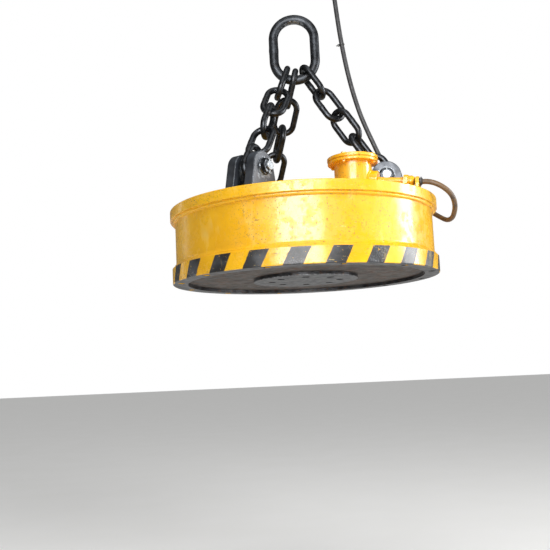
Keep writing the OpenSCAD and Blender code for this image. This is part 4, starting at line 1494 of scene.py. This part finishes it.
    def build_ring(self) -> None:
        """The pole ring with its bolt pockets and a rounded striking edge. The pole face, which
        loads rub bare, and the inside have no paint."""
        holes = self.pocket(14.0, 20.0, 8.05, self.ring_top)
        ring = self.drilled(self.ring_r, self.ring_in_r, self.face, self.ring_top, self.bolts,
                            self.bolt_r, self.bolt_start, holes, 3.5)
        corners = ring.points[ring.quads]
        flat = corners[:, :, 2].max(1) < self.face + 0.05
        inside = np.hypot(corners[..., 0], corners[..., 1]).max(1) < self.ring_in_r + 0.05
        bare = flat | inside
        patches = [ring.kept(~bare), (ring.kept(bare), "pole_steel")]
        self.piece("pole_ring_striped", MAGNET, "striped_enamel", "pole_ring", patches)

    def build_shoe(self) -> None:
        """The centre pole shoe with its bolt pockets; its middle closes in one point."""
        top = self.face + self.shoe_t
        holes = self.pocket(16.0, 22.0, 10.05, top)
        shoe = self.drilled(self.shoe_r, 0.0, self.face, top, self.shoe_bolts, self.shoe_bolt_r, 0.0,
                            holes, 3.0, 12)
        self.piece("pole_shoe_cast", MAGNET, "pole_steel", "pole_shoe", [shoe])

    def build(self) -> None:
        """Builds the pot's outside and the shoe."""
        for build in (self.build_plate, self.build_drum, self.build_ring, self.build_shoe):
            build()


# ---------------------------------------------------------------------------
# Terminal turret, conduit and rim bracket
# ---------------------------------------------------------------------------


@dataclass
class TerminalTurret(Group):
    """The terminal turret with its bolted lid, and the conduit that leads the cable to the rim."""

    at_xy: tuple = (208.0, -190.0)
    turn: float = -16.0
    wall_r: float = 74.0
    bore_r: float = 62.0
    height: float = 145.0
    foot_r: float = 92.0
    foot_in_r: float = 54.0
    foot_t: float = 12.0
    rim_t: float = 10.0
    lid_r: float = 100.0
    lid_t: float = 13.0
    lid_raised: tuple = (70.0, 64.0, 3.0)
    gasket_r: float = 96.0
    gasket_t: float = 3.0
    ledge: float = 84.0
    bolt_n: int = 4
    bolt_pcd_r: float = 86.0
    bolt_start: float = -101.0
    bolt_r: float = 5.0
    bolt_flats: float = 16.0
    bolt_head_t: float = 6.0
    bolt_tail: float = 9.0
    conduit_r: float = 13.5
    conduit_in_r: float = 10.5
    conduit_h: float = 72.0
    fall: float = 8.0
    boss_r: float = 38.0
    boss_from: float = 55.0
    conduit_from: float = 98.0
    gland_from: float = 196.0
    gland_flats: float = 44.0
    gland_hex_t: float = 20.0
    gland_nose_r: float = 17.0
    bracket_from: float = 242.0
    bracket_t: float = 14.0
    bracket_w: float = 72.0
    bracket_h: float = 56.0
    bracket_bore_r: float = 13.0
    tab_l: float = 46.0
    tab_t: float = 10.0
    tab_bolt_y: float = 24.0
    tab_bolt_r: float = 6.0
    tab_bolt_flats: float = 18.0
    tab_head_t: float = 8.0
    bushing_to: float = 270.0
    bushing_clear: float = 5.5
    bushing_flats: float = 34.0
    bushing_hex_t: float = 4.0

    def place(self) -> Place:
        """The turret's frame, standing on the top plate with X towards the rim bracket."""
        return Place(np.array([*self.at_xy, PLATE_Z]), turn_z(self.turn))

    def line_place(self) -> Place:
        """The conduit's frame, with Z along the conduit from the turret's axis."""
        a = np.radians(90 + self.fall)
        axes = np.array([[np.cos(a), 0, -np.sin(a)], [0, 1, 0], [np.sin(a), 0, np.cos(a)]])
        return self.place().within([0.0, 0.0, self.conduit_h], axes)

    def painted(self, name: str, node: str, patches: list, at: Place | None = None) -> None:
        """One yellow piece on the magnet, in the turret's frame unless another is given."""
        self.piece(name, MAGNET, "yellow_enamel", node, patches, at or self.place())

    def around(self, patch: Patch) -> list[Patch]:
        """A patch repeated at every lid bolt, in the turret's frame."""
        angles = self.bolt_start + 360 * np.arange(self.bolt_n) / self.bolt_n
        return [patch.moved(x=self.bolt_pcd_r).placed(Place(np.zeros(3), turn_z(a))) for a in angles]

    def saddle(self, r: float) -> np.ndarray:
        """The line in which a boss of radius r meets the turret's wall: for each angle round the
        boss, the point of its side at which the distance from the turret's axis is the wall's."""
        a = np.linspace(0.0, 2 * np.pi, 64, endpoint=False)
        y, up = r * np.cos(a), r * np.sin(a)
        x = np.sqrt(self.wall_r**2 - y**2) + 1.0
        slope = np.tan(np.radians(self.fall))
        return np.stack([x, y, self.conduit_h - x * slope + up / np.cos(np.radians(self.fall))], -1)

    def build_body(self) -> None:
        """Foot flange, wall with a weld at its foot, rim flange and the conduit's boss."""
        at, h, rim = self.place(), self.height, self.lid_r - 1.5
        wall = turned_round(
            [(self.foot_in_r, 0), (self.foot_r, 0), (self.foot_r, self.foot_t), (self.wall_r, self.foot_t),
             (self.wall_r, h - self.rim_t), (rim, h - self.rim_t), (rim, h), (self.bore_r, h),
             (self.bore_r, self.ledge), (self.foot_in_r, self.ledge)],
            [1, 1, 2.5, 4, 4, 1.5, 2.5, 1.5, 1, 1], 128,
        )
        foot = weld(circle(self.foot_r + 1.5, 1.5), 5.5, 7.0, True)
        neck = weld(circle(self.wall_r + 1.5, self.foot_t + 1.5), 5.0, 7.0, True)
        boss = tube(self.conduit_in_r, self.boss_r, self.boss_from, self.conduit_from, [1, 1, 4, 1], 64)
        collar = weld(self.saddle(self.boss_r + 0.5), 4.0, 6.0, True)
        patches = [p.placed(at) for p in (wall, foot, neck, collar)]
        patches.insert(3, boss.placed(self.line_place()))
        self.piece("turret_body_cast", MAGNET, "yellow_enamel", "turret_body", patches)

    def build_lid(self) -> None:
        """The lid: a turned disc with a raised middle and an eased rim."""
        low = self.height + self.gasket_t
        top = low + self.lid_t
        foot_r, top_r, rise = self.lid_raised
        shape = turned_round(
            [(0, low), (self.lid_r, low), (self.lid_r, top), (foot_r, top), (top_r, top + rise),
             (0, top + rise)],
            [0, 1.2, 3.5, 1.5, 2.0, 0], 128, False,
        )
        self.painted("turret_lid_turned", "turret_lid", [shape])

    def build_gasket(self) -> None:
        """The gasket, painted over with the flanges, between which it bulges a little."""
        z, t = self.height, self.gasket_t
        a = np.linspace(-np.pi / 2, np.pi / 2, 7)
        bulge = np.stack([self.gasket_r + 0.5 * t * np.cos(a), z + t / 2 + t / 2 * np.sin(a)], -1)
        line = np.concatenate([[[self.bore_r, z]], bulge, [[self.bore_r, z + t]]])
        self.painted("lid_gasket_moulded", "lid_gasket", [turned_solid(line, None, 128)])

    def build_bolts(self) -> None:
        """Lid bolts: chamfered head, washer and the shank that shows under the rim."""
        z = self.height + self.gasket_t + self.lid_t
        low = self.height - self.rim_t
        head = hexagon(self.bolt_flats, z + 1.4, z + self.bolt_head_t)
        washer = tube(0, self.bolt_flats / 2 + 1.5, z, z + 1.6, [0, 0.4, 0.6, 0], 32)
        shank = tube(0, self.bolt_r, low - self.bolt_tail, z + 1, [0, 1.2, 0.3, 0], 24)
        patches = [p for shape in (head, washer, shank) for p in self.around(shape)]
        self.painted("lid_bolts_set", "lid_bolts", patches)

    def build_nuts(self) -> None:
        """Lid nuts under the rim flange."""
        low, bore = self.height - self.rim_t, 2 * self.bolt_r + 0.1
        nut = hexagon(self.bolt_flats, low - self.bolt_head_t, low, True, bore)
        self.painted("lid_nuts_set", "lid_nuts", self.around(nut))

    def build_conduit(self) -> None:
        """The conduit tube with a collar at each end."""
        r, inside, a, b = self.conduit_r, self.conduit_in_r, self.conduit_from, self.gland_from
        pipe = tube(inside, r, a, b, [0.5, 1, 1, 0.5])
        collars = [tube(r - 1, r + 1.6, z, z + 7, [0.3, 1, 1, 0.3]) for z in (a + 1, b - 9)]
        self.painted("conduit_tube", "conduit", [pipe, *collars], self.line_place())

    def build_gland(self) -> None:
        """The gland: hexagon, barrel with a grip groove, and the cone into the bracket."""
        inside, r = self.conduit_in_r, self.gland_flats / 2
        z = self.gland_from + self.gland_hex_t
        end = self.bracket_from - 3
        groove = [(r, z + 0.5), (r, z + 4), (r - 1, z + 5), (r - 1, z + 6.4), (r, z + 7.4), (r, z + 13)]
        barrel = turned_round(
            [(inside, z - 0.5), *groove, (self.gland_nose_r, end), (inside, end)],
            [0.5, 0.6, 0.4, 0.4, 0.4, 0.4, 1.5, 1.5, 0.6], 64,
        )
        nut = hexagon(self.gland_flats, self.gland_from, z, True, 2 * inside)
        self.painted("conduit_gland_turned", "conduit_gland", [nut, barrel], self.line_place())

    def build_bracket(self) -> None:
        """The rim bracket: an upright with a rounded top and a hole, on a bolted foot."""
        at, half = self.place(), self.bracket_w / 2
        slope = np.tan(np.radians(self.fall))
        hole_z = self.conduit_h - (self.bracket_from + self.bracket_t / 2) * slope
        straight = self.bracket_h - half
        a = np.linspace(0.0, np.pi, 32)
        s = np.linspace(0.0, 1.0, 10, endpoint=False)[:, None]
        right, left = np.array([half, 0.0]), np.array([-half, 0.0])
        line = np.concatenate([
            np.stack([half * np.cos(a), straight + half * np.sin(a)], -1),
            (left + [0, straight]) * (1 - s[1:]) + left * s[1:], left * (1 - s) + right * s,
            right * (1 - s) + (right + [0, straight]) * s,
        ]) - [0.0, hole_z]
        bore = unit(line) * self.bracket_bore_r
        upright = at.within([self.bracket_from, 0.0, hole_z], [[0, 1, 0], [0, 0, 1], [1, 0, 0]])
        foot = slab(box_outline(self.tab_l, self.bracket_w, 5.0), 0.0, self.tab_t, 2.0)
        foot = foot.moved(x=self.bracket_from - self.tab_l / 2 + 0.5)
        run = np.linspace(-half + 4, half - 4, 24)
        bead = np.stack([self.bracket_from - 0.5 + 0 * run, run, self.tab_t + 0.5 + 0 * run], -1)
        patches = [slab(line, 0.0, self.bracket_t, 2.5, bore).placed(upright), foot.placed(at),
                   weld(bead, 4.0, 6.0).placed(at)]
        self.piece("rim_bracket_welded", MAGNET, "yellow_enamel", "rim_bracket", patches)

    def build_bracket_bolts(self) -> None:
        """The two bolts in the bracket's foot, each on a washer."""
        t, x = self.tab_t, self.bracket_from - self.tab_l / 2
        head = hexagon(self.tab_bolt_flats, t + 1.5, t + self.tab_head_t)
        washer = tube(0, self.tab_bolt_flats / 2 + 1.5, 0, 1.7, [0, 0.4, 0.6, 0], 32).moved(z=t)
        shank = tube(0, self.tab_bolt_r, 0, t + 1, [0, 0.5, 0.3, 0], 24)
        patches = [p.moved(x, side * self.tab_bolt_y) for side in (-1, 1) for p in (head, washer, shank)]
        self.piece("bracket_bolts_pair", MAGNET, "zinc_plate", "bracket_bolts", patches, self.place())

    def build_bushing(self) -> None:
        """The outlet bushing: a sleeve through the bracket, its hexagon and a soft tapered nose."""
        z = self.bracket_from + self.bracket_t + self.bushing_clear
        sleeve = tube(0, self.bracket_bore_r - 0.1, self.bracket_from, z + 1, [0, 0.8, 0.4, 0])
        nut = hexagon(self.bushing_flats, z, z + self.bushing_hex_t, True)
        nose = turned_round([(0, z + 3), (15, z + 3.5), (12.2, self.bushing_to), (0, self.bushing_to)],
                            [0, 0.6, 1.8, 0], 48, False)
        patches = [sleeve, nut, nose]
        self.piece(
            "outlet_bushing_moulded", MAGNET, "rubber_part", "outlet_bushing", patches, self.line_place()
        )

    def build(self) -> None:
        """Builds the turret, the conduit line and the bracket, all on the magnet."""
        for build in (
            self.build_body, self.build_lid, self.build_gasket, self.build_bolts, self.build_nuts,
            self.build_conduit, self.build_gland, self.build_bracket, self.build_bracket_bolts,
            self.build_bushing,
        ):
            build()


@dataclass
class InnerParts(Group):
    """The CAD nodes whose own shapes stay: the coil, its insulation, the core and the hidden
    bolts and terminals, each dressed with its finish."""

    slots: dict = field(default_factory=lambda: {
        "core": "pole_steel", "bottom_plate": "manganese_plate", "coil_upper": "coil_strip",
        "coil_middle": "coil_strip", "coil_lower": "coil_strip", "coil_separators": "insulation_board",
        "core_sleeve": "insulation_board", "coil_potting": "potting", "shoe_bolts": "socket_bolt",
        "ring_bolts": "socket_bolt", "terminal_board": "insulation_board", "terminal_studs": "brass",
        "coil_leads": "lead_sleeve",
    })

    def build(self, nodes: dict) -> None:
        """Gives each node its material.

        Args:
            nodes: the frame's CAD nodes by name.
        """
        for name, slot in self.slots.items():
            mesh = nodes[name].data
            mesh.materials.clear()
            mesh.materials.append(self.finishes[slot])
            LOG.info("%s: CAD shape kept, finish %s", name, slot)


def main() -> None:
    """Builds the scene in order."""
    logging.basicConfig(level=logging.INFO, format="%(message)s")
    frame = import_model()
    finishes = Finishes()
    Studio().build()
    FeedCable(finishes).build()
    Sling(finishes, frame["nodes"]).build()
    for letter, angle, nut_side in (("a", -2.5, -1.0), ("b", 117.5, 1.0), ("c", 237.5, 1.0)):
        Lug(finishes, letter, angle, nut_side).build()
    MagnetBody(finishes).build()
    TerminalTurret(finishes).build()
    InnerParts(finishes).build(frame["nodes"])


if __name__ == "__main__":
    main()
